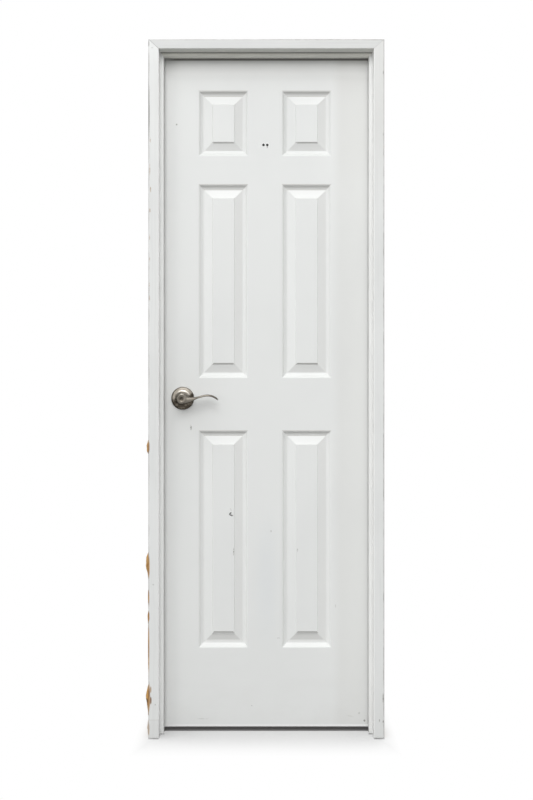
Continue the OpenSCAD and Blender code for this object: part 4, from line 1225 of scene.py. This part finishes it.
# %% Burst a few bubbles and draw the outline
bubble_size = 0.0060
bubble_depth = 0.0009
bubble_share = 0.45
ripple_size = 0.0110
ripple_depth = 0.0009
grip_depth = 0.003
foam_outline = [
    # height, share of the thickness left
    (0.000, 0.50), (0.030, 1.00), (0.052, 0.60), (0.066, 0.45), (0.088, 0.55),
    (0.108, 1.00), (0.130, 0.92), (0.155, 0.45), (0.172, 0.25), (0.250, 0.42),
    (0.320, 0.40), (0.340, 0.75), (0.350, 1.00), (0.360, 0.70), (0.385, 0.45),
    (0.420, 0.50), (0.448, 0.30), (0.470, 0.50), (0.495, 1.00), (0.508, 1.00),
    (0.526, 0.80), (0.812, 1.00), (0.835, 0.85), (0.856, 0.70), (0.900, 0.70),
]


def share_left(height):
    for (low, low_share), (high, high_share) in zip(foam_outline, foam_outline[1:]):
        if low <= height <= high:
            part = (height - low) / (high - low)
            return low_share + part * (high_share - low_share)
    return 1.0


def skin_depth(place):
    cells = noise.voronoi(place / bubble_size)[0][0]
    pit = max(0.0, 1.0 - cells / bubble_share)
    ripple = 0.5 + 0.5 * noise.noise(place / ripple_size)
    return bubble_depth * pit * pit + ripple_depth * ripple


foam_seat = -frame_side
normals = [vertex.normal.copy() for vertex in fine_mesh.vertices]
for vertex, normal in zip(fine_mesh.vertices, normals):
    stands_out = foam_seat - vertex.co.x
    if stands_out > 0:
        grip = min(1.0, stands_out / grip_depth)
        vertex.co -= normal * skin_depth(vertex.co) * grip
        stands_out = foam_seat - vertex.co.x
        vertex.co.x = foam_seat - stands_out * share_left(vertex.co.z)
for face in fine_mesh.polygons:
    face.use_smooth = True
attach(foam, "frame")
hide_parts("foam_residue")
foam_low = min(vertex.co.x for vertex in fine_mesh.vertices)
print("foam stands out to", round(1000 * (foam_seat - foam_low), 1), "mm")

# %% [markdown]
# Old foam is the colour of caramel where its skin is whole and dark brown where light has burnt it, in
# streaks that run down with the sag. Burst bubbles are painted nearly black, as painted shade in the pits,
# and come from a cell noise of the same size as the bubbles in the shape. The lowest lump is grey with
# dust, and the one above it has a hollow painted dark as shade.

# %% Colour the foam
foam_pale = (0.660, 0.440, 0.200)
pit_shade_dark = (0.050, 0.028, 0.012)
seat_band = 0.0018
dusty_below = (0.062, 0.052)
# x, z, half width, half height
hollow_spot = (-0.3440, 0.1060, 0.0060, 0.0085)
hollow_front = (frame_front + 0.014, frame_front + 0.006)

froth = Finish("old_foam_skin", foam_gold, roughness=0.55)
froth.coat(froth.ramp(froth.noise(0.007, (1, 1, 3)), 0.50, 0.72), foam_burnt, strength=0.85)
froth.coat(froth.ramp(froth.noise(0.009, (1, 1, 2)), 0.58, 0.74), foam_pale, strength=0.70)
seat_gap = froth.math("SUBTRACT", foam_seat, froth.x)
froth.coat(froth.ramp(seat_gap, seat_band, 0.0), foam_burnt, strength=0.60)
cell_place = froth.add("Mapping", {"Vector": froth.place, "Scale": [1 / bubble_size] * 3}).outputs[0]
cell = froth.add("TexVoronoi", {"Vector": cell_place, "Scale": 1.0}).outputs["Distance"]
froth.coat(froth.ramp(cell, 0.20, 0.08), pit_shade_dark, strength=0.6)
low_lump = froth.ramp(froth.z, *dusty_below)
froth.coat(low_lump, dust_and_shade_grey, strength=0.55)
hollow = froth.spot(*hollow_spot, soft=0.5)
at_front = froth.ramp(froth.y, *hollow_front)
froth.coat(froth.both(hollow, at_front), pit_shade_dark, strength=0.85)
froth.relief(froth.noise(0.0015), millimetres=0.20)
froth.rub(froth.noise(0.004), roughness=0.75)
fine_mesh.materials.clear()
fine_mesh.materials.append(froth.done())
